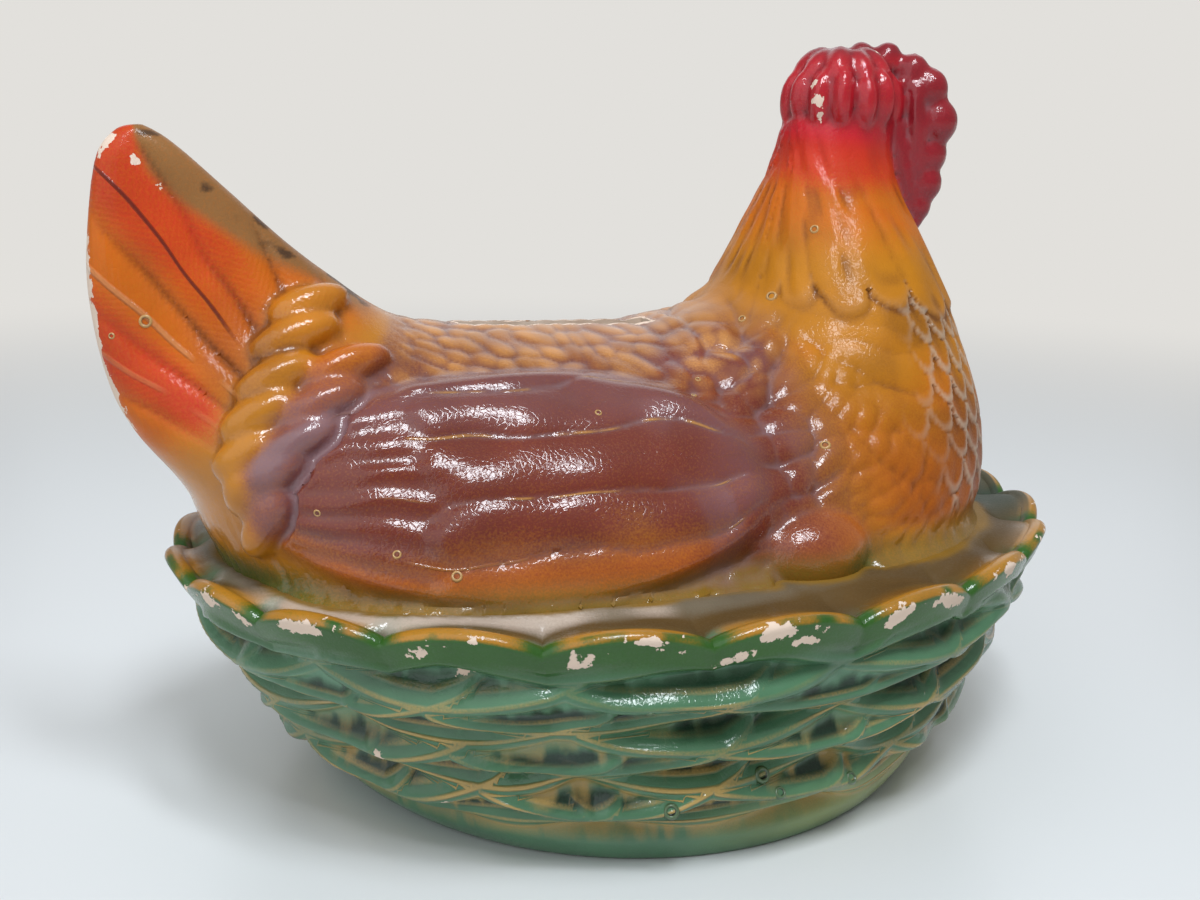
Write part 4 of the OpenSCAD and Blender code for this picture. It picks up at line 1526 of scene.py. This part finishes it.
@dataclass
class Nest:
    """The nest: an oval bowl of slanted withies with a scalloped rim and a bed for the hen."""

    centre_x: float
    rim_a: float
    rim_b: float
    bed: float
    disc_r: float
    disc_top: float
    hen_foot: Array
    hole_x: float = 0.8
    hole_a: float = 80.2
    hole_b: float = 50.0
    foot_ring: float = 6.5
    disc_gap: float = 0.25
    shoulder: float = 4.0
    shoulder_rise: float = 2.0
    bed_t: float = 5.0
    wall: float = 6.0
    rim_t: float = 4.0
    rim_drop: float = 1.0
    flare: float = 0.73
    scallops: int = 20
    scallop_rise: float = 4.6
    crest_lift: float = 1.2
    petal: float = 2.2
    notch: float = 259.0
    points: int = 760
    wall_rows: int = 88
    rows: tuple[float, ...] = (14.0, 19.0, 24.0, 29.0, 34.0, 39.0, 44.0, 49.0)
    swags: int = 11
    sag: float = 4.6
    tilt: float = 0.04
    overrun: float = 1.35
    bundle: float = 2.3
    relief: float = 3.0
    roll: float = 1.5
    roll_at: float = 39.0
    roll_pitch: float = 11.5
    # Share of the wall's height at which the hollow inside has a ring
    hollow_shares: tuple[float, ...] = (0.78, 0.55, 0.34)
    # Rings of the bed, and how many of them make the slope from the rim and how broad it is
    bed_rings: int = 23
    slope_rings: int = 16
    slope: float = 18.0
    gloss: float = 0.8
    crease_angle: float = 55.0
    # Known flakes of the paint: angle about the nest, share of the wall's height, half length, half height
    flakes: Rows = (
        (212.5, 0.98, 6.5, 2.4), (227.5, 0.95, 3.0, 2.2), (231.5, 0.86, 3.4, 2.4), (244.5, 0.94, 3.2, 3.0),
        (252, 1.0, 3.4, 1.4), (261, 0.93, 5.0, 2.2), (265, 0.99, 4.0, 3.0), (269, 0.94, 3.2, 1.6),
        (281, 0.97, 3.8, 3.2), (291, 0.97, 8.0, 2.4), (303, 0.99, 3.0, 2.4), (196, 0.97, 2.4, 3.0),
        (187, 1.0, 3.0, 3.0), (203, 0.98, 2.6, 2.4), (215.5, 0.47, 2.6, 1.8), (222.5, 0.27, 3.4, 1.6),
        (30, 0.98, 5, 2.4), (55, 0.96, 4, 2.4), (88, 0.99, 5, 2), (121, 0.97, 3.4, 2.4), (150, 0.98, 4, 2.2))

    def scallop(self, turn: Array) -> Array:
        """Height of the rim's edge from 0 in a notch to 1 on a crest, by angle in degrees."""
        return np.abs(np.sin(np.radians(turn - self.notch) * self.scallops / 2)) ** 0.7

    def ring(self, a: Array | float, b: Array | float, z: Array | float, x: float | None = None) -> Array:
        """Oval ring of points.

        Args:
            a: Half length.
            b: Half width.
            z: Height.
            x: Middle, or None for the nest's own.

        Returns:
            Points in millimetres.
        """
        turn = self.turn()
        centre = self.centre_x if x is None else x
        return np.stack([centre + a * np.cos(turn), b * np.sin(turn), np.broadcast_to(z, turn.shape)], -1)

    def turn(self) -> Array:
        """Angles of the points in a ring, in radians."""
        return 2 * np.pi * np.arange(self.points) / self.points

    def oval(self, share: Array | float) -> tuple[Array, Array]:
        """Outline of the smooth wall.

        Args:
            share: Share of the wall's height.

        Returns:
            Half length and half width there.
        """
        foot = self.disc_r + self.disc_gap + self.foot_ring
        s = np.power(np.maximum(share, 0.0), self.flare)
        return foot + (self.rim_a - foot) * s, foot + (self.rim_b - foot) * s

    def weave(self, turn: Array, share: Array) -> Masks:
        """Relief of the weave: rows of sagging bundles that cross beyond their ends.

        Args:
            turn: Angle about the nest in degrees.
            share: Share of the wall's height.

        Returns:
            Swell of the bundles from 0 to 1, offset in millimetres from the nearest bundle's middle, how
            live that bundle is, and the distances to the bundles over and under each point.
        """
        a, b = self.oval(share)
        up = share * (self.bed - self.rim_drop)
        swell, live = np.zeros(turn.shape), np.zeros(turn.shape)
        strand, over, under = (np.full(turn.shape, 9.0) for _ in range(3))
        pitch = 360 / self.swags
        span = np.radians(pitch) * (a + b) / 4
        for row, level in enumerate(self.rows):
            base = turn / pitch + 0.5 * (row % 2)
            for step in (-1, 0, 1):
                number = np.round(base) + step
                key = np.mod(number, self.swags)
                odd, even = lottery(key, row, 1.0) - 0.5, lottery(key, row, 2.0) - 0.5
                u = 2 * (base - number)
                middle = level + 1.6 * even + self.tilt * u * span - self.sag * (1 + 0.35 * odd) * (1 - u * u)
                off, here = up - middle, ease(np.abs(u), self.overrun, self.overrun - 0.3)
                bump = here * np.exp(-(off / self.bundle) ** 2)
                first = bump > swell
                strand, live = np.where(first, off, strand), np.where(first, here, live)
                swell = np.maximum(swell, bump)
                over = np.where((here > 0.5) & (off < 0), np.minimum(over, -off), over)
                under = np.where((here > 0.5) & (off > 0), np.minimum(under, off), under)
        return {"swell": swell, "strand": strand, "live": live, "over": over, "under": under}

    def outer_wall(self) -> tuple[Array, Masks]:
        """Outside of the bowl, from the foot to the rim.

        Returns:
            Rings of points and the masks of their paint.
        """
        share, turn = np.meshgrid(np.linspace(0, 1, self.wall_rows), self.turn(), indexing="ij")
        a, b = self.oval(share)
        drop = self.scallop_rise * (1 - self.scallop(np.degrees(turn)))
        lift = ease(share, 0.74, 1.0) * (self.crest_lift - drop)
        smooth = np.stack([self.centre_x + a * np.cos(turn), b * np.sin(turn),
                           share * (self.bed - self.rim_drop) + lift], -1)
        up = np.gradient(smooth, axis=0)
        about = np.roll(smooth, -1, 1) - np.roll(smooth, 1, 1)
        out = unit(np.cross(about, up))
        degrees = np.degrees(turn)
        flat = smooth.reshape(-1, 3)
        wobble = (value_noise(flat, 16, 31) - 0.5).reshape(share.shape)
        tone = value_noise(flat, 34, 44).reshape(share.shape)
        woven = ease(share, 0.09, 0.17) * ease(share, 0.93, 0.84)
        weave = self.weave(degrees + 5 * wobble, share + 0.04 * wobble)
        petal = ease(share + 0.05 * (tone - 0.5), 0.82, 0.92)
        room = weave["over"] + weave["under"]
        down = weave["over"] / room
        step = ease(room, 3.0, 6.0) * (down - 0.3) * (1 - weave["swell"])
        level = share * (self.bed - self.rim_drop) + 5 * wobble + 1.2 * np.sin(turn * self.swags / 2)
        roll = np.cos(2 * np.pi * (level - self.roll_at) / self.roll_pitch)
        height = woven * (self.relief * (weave["swell"] - 0.6) - 2.2 * step + self.roll * roll)
        height += self.petal * ease(share, 0.78, 0.92) * (self.scallop(degrees) - 0.35)
        points = smooth + out * height[..., None]
        combed = np.stack([degrees * 0.9, share * 4, 0 * share], -1).reshape(-1, 3)
        streak = value_noise(combed, 1.0, 17).reshape(share.shape)
        # Painted light and shade in each hollow between bundles: the fringe is streaked paler green, ochre on
        # the low rows, partly brushed streaks and partly painted light under the bundle above; dark is
        # painted shade in the hollow's lower part
        hollow = woven * ease(room, 4.0, 7.0) * ease(weave["swell"], 0.75, 0.35)
        fringe = woven * ease(room, 3.0, 6.0) * ease(down + 0.7 * (streak - 0.5), 0.62, 0.3)
        fringe *= ease(weave["over"], 0.9, 1.8)
        low = ease(share + 0.3 * (tone - 0.5), 0.58, 0.34)
        dark = hollow * ease(down + 0.25 * (streak - 0.5), 0.36, 0.66) * ease(share, 0.9, 0.75)
        ochre = 0.9 * fringe * low
        withy = weave["live"] * ease(np.abs(weave["strand"]), 3.0, 1.0) * ease(share, 0.09, 0.14)
        withy *= ease(share, 0.9, 0.82) * (0.35 + 0.65 * ease(share + 0.2 * (tone - 0.5), 0.8, 0.6))
        worn = value_noise(flat * np.array([1, 1, 2.0]), 13, 47).reshape(share.shape)
        withy *= np.clip(0.45 + 1.8 * (worn - 0.4) + 0.5 * (tone - 0.5), 0.12, 1)
        pale = band(np.mod(degrees - 230, 360), 20, 60, 85, 115) * ease(share, 0.34, 0.16)
        pale *= ease(share, -0.02, 0.07)
        return points, {"ochre": ochre, "dark": dark, "fringe": fringe * (1 - 0.8 * low), "withy": withy,
                        "strand": weave["strand"], "pale": pale * (1 - dark), "leaf": petal,
                        "chip": self.chips(degrees, share), "varnish": np.full(share.shape, self.gloss)}

    def chips(self, turn: Array, share: Array) -> Array:
        """Flakes along the rim and on the wall.

        Args:
            turn: Angle about the nest in degrees.
            share: Share of the wall's height, above 1 over the rim.

        Returns:
            Chip mask from 0 to 1.
        """
        mask = np.zeros(turn.shape)
        height = self.bed - self.rim_drop
        for at, level, half_long, half_tall in self.flakes:
            along = (np.mod(turn - at + 180, 360) - 180) * math.pi / 180 * 0.5 * (self.rim_a + self.rim_b)
            gap = np.hypot(along / half_long, (share - level) * height * 1.2 / half_tall)
            mask = np.maximum(mask, ease(gap, 1.3, 0.1))
        crest = ease(np.abs(share - 1.0), 0.07, 0.01) * ease(self.scallop(turn), 0.4, 0.9)
        return np.clip(0.72 * mask + 0.3 * crest, 0, 1)

    def inward(self) -> Array:
        """Level direction at each point of the rim, towards the bed."""
        turn = self.turn()
        return -unit(np.stack([np.cos(turn) / self.rim_a, np.sin(turn) / self.rim_b, 0 * turn], -1))

    def far_shade_share(self) -> Array:
        """Share of dark grey-green painted as shade on the bed and inner rim round the nest, full in front of
        the breast.
        """
        return band(np.mod(np.degrees(self.turn()) + 90, 360), 52, 72, 150, 175)

    def dulled(self, masks: Masks) -> Array:
        """Varnish over the rim and bed, which is thin on the bed outside its painted sheen."""
        return self.gloss - 0.76 * np.clip(masks["slate"] + masks["bed"] - masks.get("bloom", 0), 0, 1)

    def crest(self, edge: Array) -> tuple[list[Array], list[Masks]]:
        """Rounded crest of the rim.

        Args:
            edge: Last ring of the outer wall.

        Returns:
            Rings of points and the masks of each ring.
        """
        steps, half = 9, self.rim_t / 2
        degrees, one = np.degrees(self.turn()), np.ones(self.points)
        crest = self.scallop(degrees)
        rings, masks = [], []
        for k in range(1, steps):
            angle = math.pi * k / steps
            ring = edge + self.inward() * half * (1 - math.cos(angle))
            ring[:, 2] += 0.8 * half * math.sin(angle)
            rings.append(ring)
            broken = ease(value_noise(ring, 4.5, 71), 0.1, 0.5) if k < 4 else one
            # The inner rim turns dark grey-green as painted shade round the far end
            masks.append({"rim": broken * ease(crest, 0.3, 0.7), "leaf": one,
                          "chip": self.chips(degrees, one * (1 + 0.012 * k)),
                          "bed": ease(crest, 0.45, 0.2) * (k > 5), "slate": self.far_shade_share() * (k > 4)})
        return rings, masks

    def bedding(self, brink: Array) -> tuple[list[Array], list[Masks]]:
        """Bed that slopes in from the rim and lies level where the hen stands.

        Args:
            brink: Last ring of the crest.

        Returns:
            Rings of points and the masks of each ring.
        """
        degrees, inward = np.degrees(self.turn()), self.inward()
        crest = self.scallop(degrees)
        right = 0.85 * band(degrees, 262, 290, 340, 358)
        foot = point_tree(self.hen_foot)
        smooth = self.ring(self.rim_a, self.rim_b, self.bed)
        rings, masks = [], []
        for k in range(1, self.bed_rings + 1):
            s = np.full(self.points, min(k / self.slope_rings, 1.0))
            deep = self.rim_t + self.slope * k / self.slope_rings
            plain = ease(s, 0.1, 0.9)[:, None]
            ring = (1 - plain) * (brink + inward * (deep - self.rim_t)) + plain * (smooth + inward * deep)
            wave = value_noise(ring, 9, 61) - 0.5
            gap = np.array([foot.find((x, y, self.bed))[2] for x, y, _ in ring])
            level = brink[:, 2] + (self.bed - brink[:, 2]) * ease(s, 0.0, 0.8)
            level -= 0.9 * np.sin(np.pi * s) ** 2 + 0.7 * wave * np.sin(np.pi * s)
            ring[:, 2] = self.bed + (level - self.bed) * ease(gap, 0.8, 6.0)
            rings.append(ring)
            rust = band(s + 0.3 * wave, 0.03, 0.12, 0.4, 0.8) * ease(gap, 2.0, 6.0) + right
            # Painted highlight: a pale band on the bed close to the hen's foot, on the near side
            bloom = band(degrees + 20 * wave, 190, 210, 240, 262) * band(gap + 2 * wave, 0.8, 2.0, 3.5, 6.0)
            # The bed also turns dark grey-green as painted shade round the far end
            masks.append({"rim": ease(s + 0.5 * wave, 0.42, 0.05) * ease(crest, 0.25, 0.6),
                          "bed": ease(s, 0.0, 0.3), "rust": np.clip(rust, 0, 1),
                          "olive": ease(gap + 3 * wave, 2.4, 0.2), "bloom": bloom,
                          "slate": self.far_shade_share() * ease(gap + 4 * wave, 0.5, 3.0)})
        return rings, masks

    def inside(self) -> list[Array]:
        """Bed under the hen, its hole, the hollow below and the seat of the closing disc.

        Returns:
            Rings of points, from the hole's upper edge to the foot's inner edge.
        """
        seat = self.disc_r + self.disc_gap
        shoulder_r = seat - self.shoulder
        rings = [self.ring(self.hole_a, self.hole_b, z, self.hole_x)
                 for z in (self.bed, self.bed - self.bed_t)]
        for share in self.hollow_shares:
            a, b = self.oval(share)
            rings.append(self.ring(a - self.wall, b - self.wall, share * (self.bed - self.rim_drop)))
        steps = ((shoulder_r, self.disc_top + self.shoulder_rise), (shoulder_r, self.disc_top),
                 (seat, self.disc_top), (seat, 0.0))
        return rings + [self.ring(r, r, z) for r, z in steps]

    def build(self) -> bpy.types.Object:
        """Build the nest.

        Returns:
            The finished piece, with its masks and materials.
        """
        wall, wall_masks = self.outer_wall()
        crest, crest_masks = self.crest(wall[-1])
        bed, bed_masks = self.bedding(crest[-1])
        inner = self.inside()
        rings = np.vstack([wall, np.array(crest + bed), np.array(inner)])
        faces = grid_quads(len(rings), self.points, True)
        mesh = new_mesh("nest", rings.reshape(-1, 3), faces.tolist())
        over_masks = [masks | {"varnish": self.dulled(masks)} for masks in crest_masks + bed_masks]
        for name in dict.fromkeys(name for masks in (wall_masks, *over_masks) for name in masks):
            below = wall_masks.get(name, np.zeros(wall.shape[:2]))
            over = np.array([masks.get(name, np.zeros(self.points)) for masks in over_masks])
            under_hen = np.repeat(over[-1:], len(inner), axis=0)
            write_mask(mesh, name, np.vstack([below, over, under_hen]).ravel())
        obj = new_object("nest", mesh)
        mesh.materials.append(NEST_PAINT.build())
        mesh.materials.append(BARE_CASTING.build())
        first_bare = (len(wall) + len(crest) + len(bed) + 1) * self.points
        mesh.polygons.foreach_set("material_index", (np.arange(len(faces)) >= first_bare).astype(np.int32))
        mesh.shade_smooth()
        mesh.set_sharp_from_angle(angle=math.radians(self.crease_angle))
        return obj


@dataclass(frozen=True)
class Blisters:
    """Burst air bubbles on a casting, each a place near its surface (x, y, z) and a radius."""

    name: str
    bubbles: Rows

    def build(self, host: bpy.types.Object, finish: BlisterFinish) -> bpy.types.Object:
        """Set each bubble on the nearest point of the host's surface.

        Args:
            host: Piece that carries the bubbles.
            finish: Look of the bubbles.

        Returns:
            The bubbles as one piece.
        """
        tree = BVHTree.FromObject(host, bpy.context.evaluated_depsgraph_get())
        hits = [tree.find_nearest(Vector(bubble[:3]) * MM) for bubble in self.bubbles]
        places = np.array([hit[0] for hit in hits]) / MM
        outs = np.array([hit[1] for hit in hits])
        aslant = np.array([0.3, 0.2, 0.9])
        sizes = np.array([[bubble[3]] * 3 for bubble in self.bubbles])
        studs = Studs(self.name, places, unit(np.cross(outs, aslant)), outs, sizes)
        obj = studs.build(blister_ring(), finish.build())
        obj.data.shade_smooth()
        return obj


HEN_BUBBLES = Blisters("hen_blisters", (
    (44.3, -16, 121, 1.0), (34.3, -15, 106, 1.2), (27.3, -14, 101, 0.9), (29.3, -47, 80, 1.1),
    (-101.7, -8, 105, 1.2), (-107.7, -5, 102, 0.6), (-75.7, -36, 72, 0.7), (-53.7, -51, 61, 1.0),
    (-63.7, -46, 65, 0.8), (5.3, -33, 89, 0.6), (8.3, -29, 91, 0.6), (-19.7, -38, 86, 0.7)))
NEST_BUBBLES = Blisters("nest_blisters", (
    (-19, -75, 17, 1.4), (1.5, -76, 21, 1.5), (5.5, -77, 19, 1.2), (24, -75, 17, 1.2), (-25, -76, 36, 0.8)))


@dataclass(frozen=True)
class Lamp:
    """One rectangular light, with its place and size in metres and its power in watts."""

    name: str
    place: tuple[float, float, float]
    size: tuple[float, float]
    power: float


@dataclass(frozen=True)
class Studio:
    """Floor, light and camera of the photograph's view."""

    camera_mm: tuple[float, float, float] = (-130.9, -279.6, 144.3)
    heading: float = 24.9
    pitch: float = 13.7
    roll: float = 1.1
    focal_px: float = 1355.0
    image_px: float = 1200.0
    backdrop: str = "#E2E0DC"
    daylight: str = "#F1F8FF"
    sill: str = "#DADCDD"
    sill_gloss: float = 0.32
    sill_half_mm: float = 4000.0
    # Distances in metres between which the floor fades into the backdrop
    fade_m: tuple[float, float] = (0.28, 0.85)
    room_light: float = 0.46
    aim_m: tuple[float, float, float] = (0.0, 0.0, 0.07)
    lamps: tuple[Lamp, ...] = (
        Lamp("pane_left", (-0.16, -0.42, 0.90), (0.12, 0.32), 3.6),
        Lamp("pane_right", (0.06, -0.39, 0.92), (0.12, 0.32), 3.6),
        Lamp("room_fill", (-0.80, -0.30, 0.60), (1.3, 1.2), 4.5),
        Lamp("wall_bounce", (0.35, 0.75, 0.6), (1.2, 0.9), 2.2))

    def camera(self) -> None:
        """Place the camera at the photograph's viewing angle."""
        data = bpy.data.cameras.new("camera")
        data.sensor_width = 36.0
        data.lens = self.focal_px / self.image_px * data.sensor_width
        data.clip_start, data.clip_end = 0.01, 50.0
        h, p, r = (math.radians(v) for v in (self.heading, self.pitch, self.roll))
        ahead = Vector((math.sin(h) * math.cos(p), math.cos(h) * math.cos(p), -math.sin(p)))
        right = Vector((math.cos(h), -math.sin(h), 0))
        up = right.cross(ahead)
        side, top = math.cos(r) * right + math.sin(r) * up, math.cos(r) * up - math.sin(r) * right
        obj = bpy.data.objects.new("camera", data)
        turned = Matrix((side, top, -ahead)).transposed().to_4x4()
        obj.matrix_world = Matrix.Translation(Vector(self.camera_mm) * MM) @ turned
        bpy.context.scene.collection.objects.link(obj)
        bpy.context.scene.camera = obj

    def floor(self) -> None:
        """Lay a pale satin floor that fades into the backdrop."""
        half = self.sill_half_mm
        obj = new_object("floor", new_mesh("floor", np.array([
            (-half, -half, 0), (half, -half, 0), (half, half, 0), (-half, half, 0)]), [[0, 1, 2, 3]]))
        # Satin paint of a window sill: pale, even and soft in its reflections
        material, tree = new_material("Satin white sill")
        place = add_node(tree, "ShaderNodeTexCoord").outputs["Object"]
        away = add_node(tree, "ShaderNodeVectorMath", {0: place}, operation="LENGTH").outputs["Value"]
        fade = add_node(tree, "ShaderNodeMapRange", {0: away, 1: self.fade_m[0], 2: self.fade_m[1]},
                        interpolation_type="SMOOTHSTEP")
        path = add_node(tree, "ShaderNodeLightPath")
        seen = add_node(tree, "ShaderNodeMath", {
            0: path.outputs["Is Camera Ray"], 1: path.outputs["Is Glossy Ray"]}, operation="MAXIMUM")
        factor = add_node(tree, "ShaderNodeMath", {0: fade, 1: seen}, operation="MULTIPLY")
        satin = add_node(tree, "ShaderNodeBsdfPrincipled", {
            "Base Color": linear(self.sill), "Roughness": self.sill_gloss})
        glow = add_node(tree, "ShaderNodeEmission", {"Color": linear(self.backdrop), "Strength": 1.0})
        mixed = add_node(tree, "ShaderNodeMixShader", {0: factor, 1: satin, 2: glow})
        add_node(tree, "ShaderNodeOutputMaterial", {"Surface": mixed})
        obj.data.materials.append(material)

    def lights(self) -> None:
        """Light the scene like a room with a two-pane window over the photographer's shoulder."""
        world = bpy.data.worlds.new("room")
        world.use_nodes = True
        tree = world.node_tree
        tree.nodes.clear()
        path = add_node(tree, "ShaderNodeLightPath")
        strength = add_node(tree, "ShaderNodeMapRange", {
            0: path.outputs["Is Camera Ray"], 3: self.room_light, 4: 1.0})
        ground = add_node(tree, "ShaderNodeBackground", {
            "Color": linear(self.backdrop), "Strength": strength})
        add_node(tree, "ShaderNodeOutputWorld", {"Surface": ground})
        bpy.context.scene.world = world
        for lamp in self.lamps:
            light = bpy.data.lights.new(lamp.name, "AREA")
            light.shape, light.energy = "RECTANGLE", lamp.power
            light.size, light.size_y = lamp.size
            light.color = linear(self.daylight)[:3]
            obj = bpy.data.objects.new(lamp.name, light)
            turned = (Vector(self.aim_m) - Vector(lamp.place)).to_track_quat("-Z", "Y").to_matrix().to_4x4()
            obj.matrix_world = Matrix.Translation(Vector(lamp.place)) @ turned
            bpy.context.scene.collection.objects.link(obj)

    def build(self) -> None:
        """Set up camera, floor, lights and view."""
        self.camera()
        self.floor()
        self.lights()
        bpy.context.scene.view_settings.view_transform = "Standard"


def dress_node(frame: Mapping[str, Any], node: str, finish: PlainFinish) -> None:
    """Give a CAD node that stays as it is its finish.

    Args:
        frame: The loaded frame.
        node: Name of the node.
        finish: Its material.
    """
    mesh = frame["nodes"][node].data
    mesh.materials.clear()
    mesh.materials.append(finish.build())


def main() -> None:
    """Build every piece round the frame and report it."""
    logging.basicConfig(level=logging.INFO, format="%(name)s: %(message)s")
    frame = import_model()
    nest_low, nest_high = (np.array(corner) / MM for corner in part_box("nest_basket"))
    hen_low, _ = (np.array(corner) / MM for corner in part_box("hen_body"))
    disc_low, disc_high = (np.array(corner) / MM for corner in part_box("base_disc"))
    Studio().build()
    hen = Hen(bed=float(hen_low[2])).build()
    hen_points = points_of(hen.data)
    nest = Nest(centre_x=(nest_low[0] + nest_high[0]) / 2, rim_a=(nest_high[0] - nest_low[0]) / 2,
                rim_b=(nest_high[1] - nest_low[1]) / 2, bed=float(hen_low[2]),
                disc_r=(disc_high[0] - disc_low[0]) / 2, disc_top=float(disc_high[2]),
                hen_foot=hen_points[hen_points[:, 2] < hen_low[2] - FOOT_DEPTH]).build()
    hen_marks = HEN_BUBBLES.build(hen, HEN_BLISTER)
    nest_marks = NEST_BUBBLES.build(nest, NEST_BLISTER)
    for piece, node, slot in ((nest, "nest_basket", "nest_paint"), (hen, "hen_body", "hen_paint"),
                              (hen_marks, None, "hen_paint"), (nest_marks, None, "nest_paint")):
        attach(piece, "box")
        if node:
            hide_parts(node)
        LOG.info("%s: %d triangles", piece.name, sum(len(face.vertices) - 2 for face in piece.data.polygons))
    dress_node(frame, "base_disc", BARE_CASTING)
    dress_node(frame, "bung", BUNG_RUBBER)


if __name__ == "__main__":
    main()
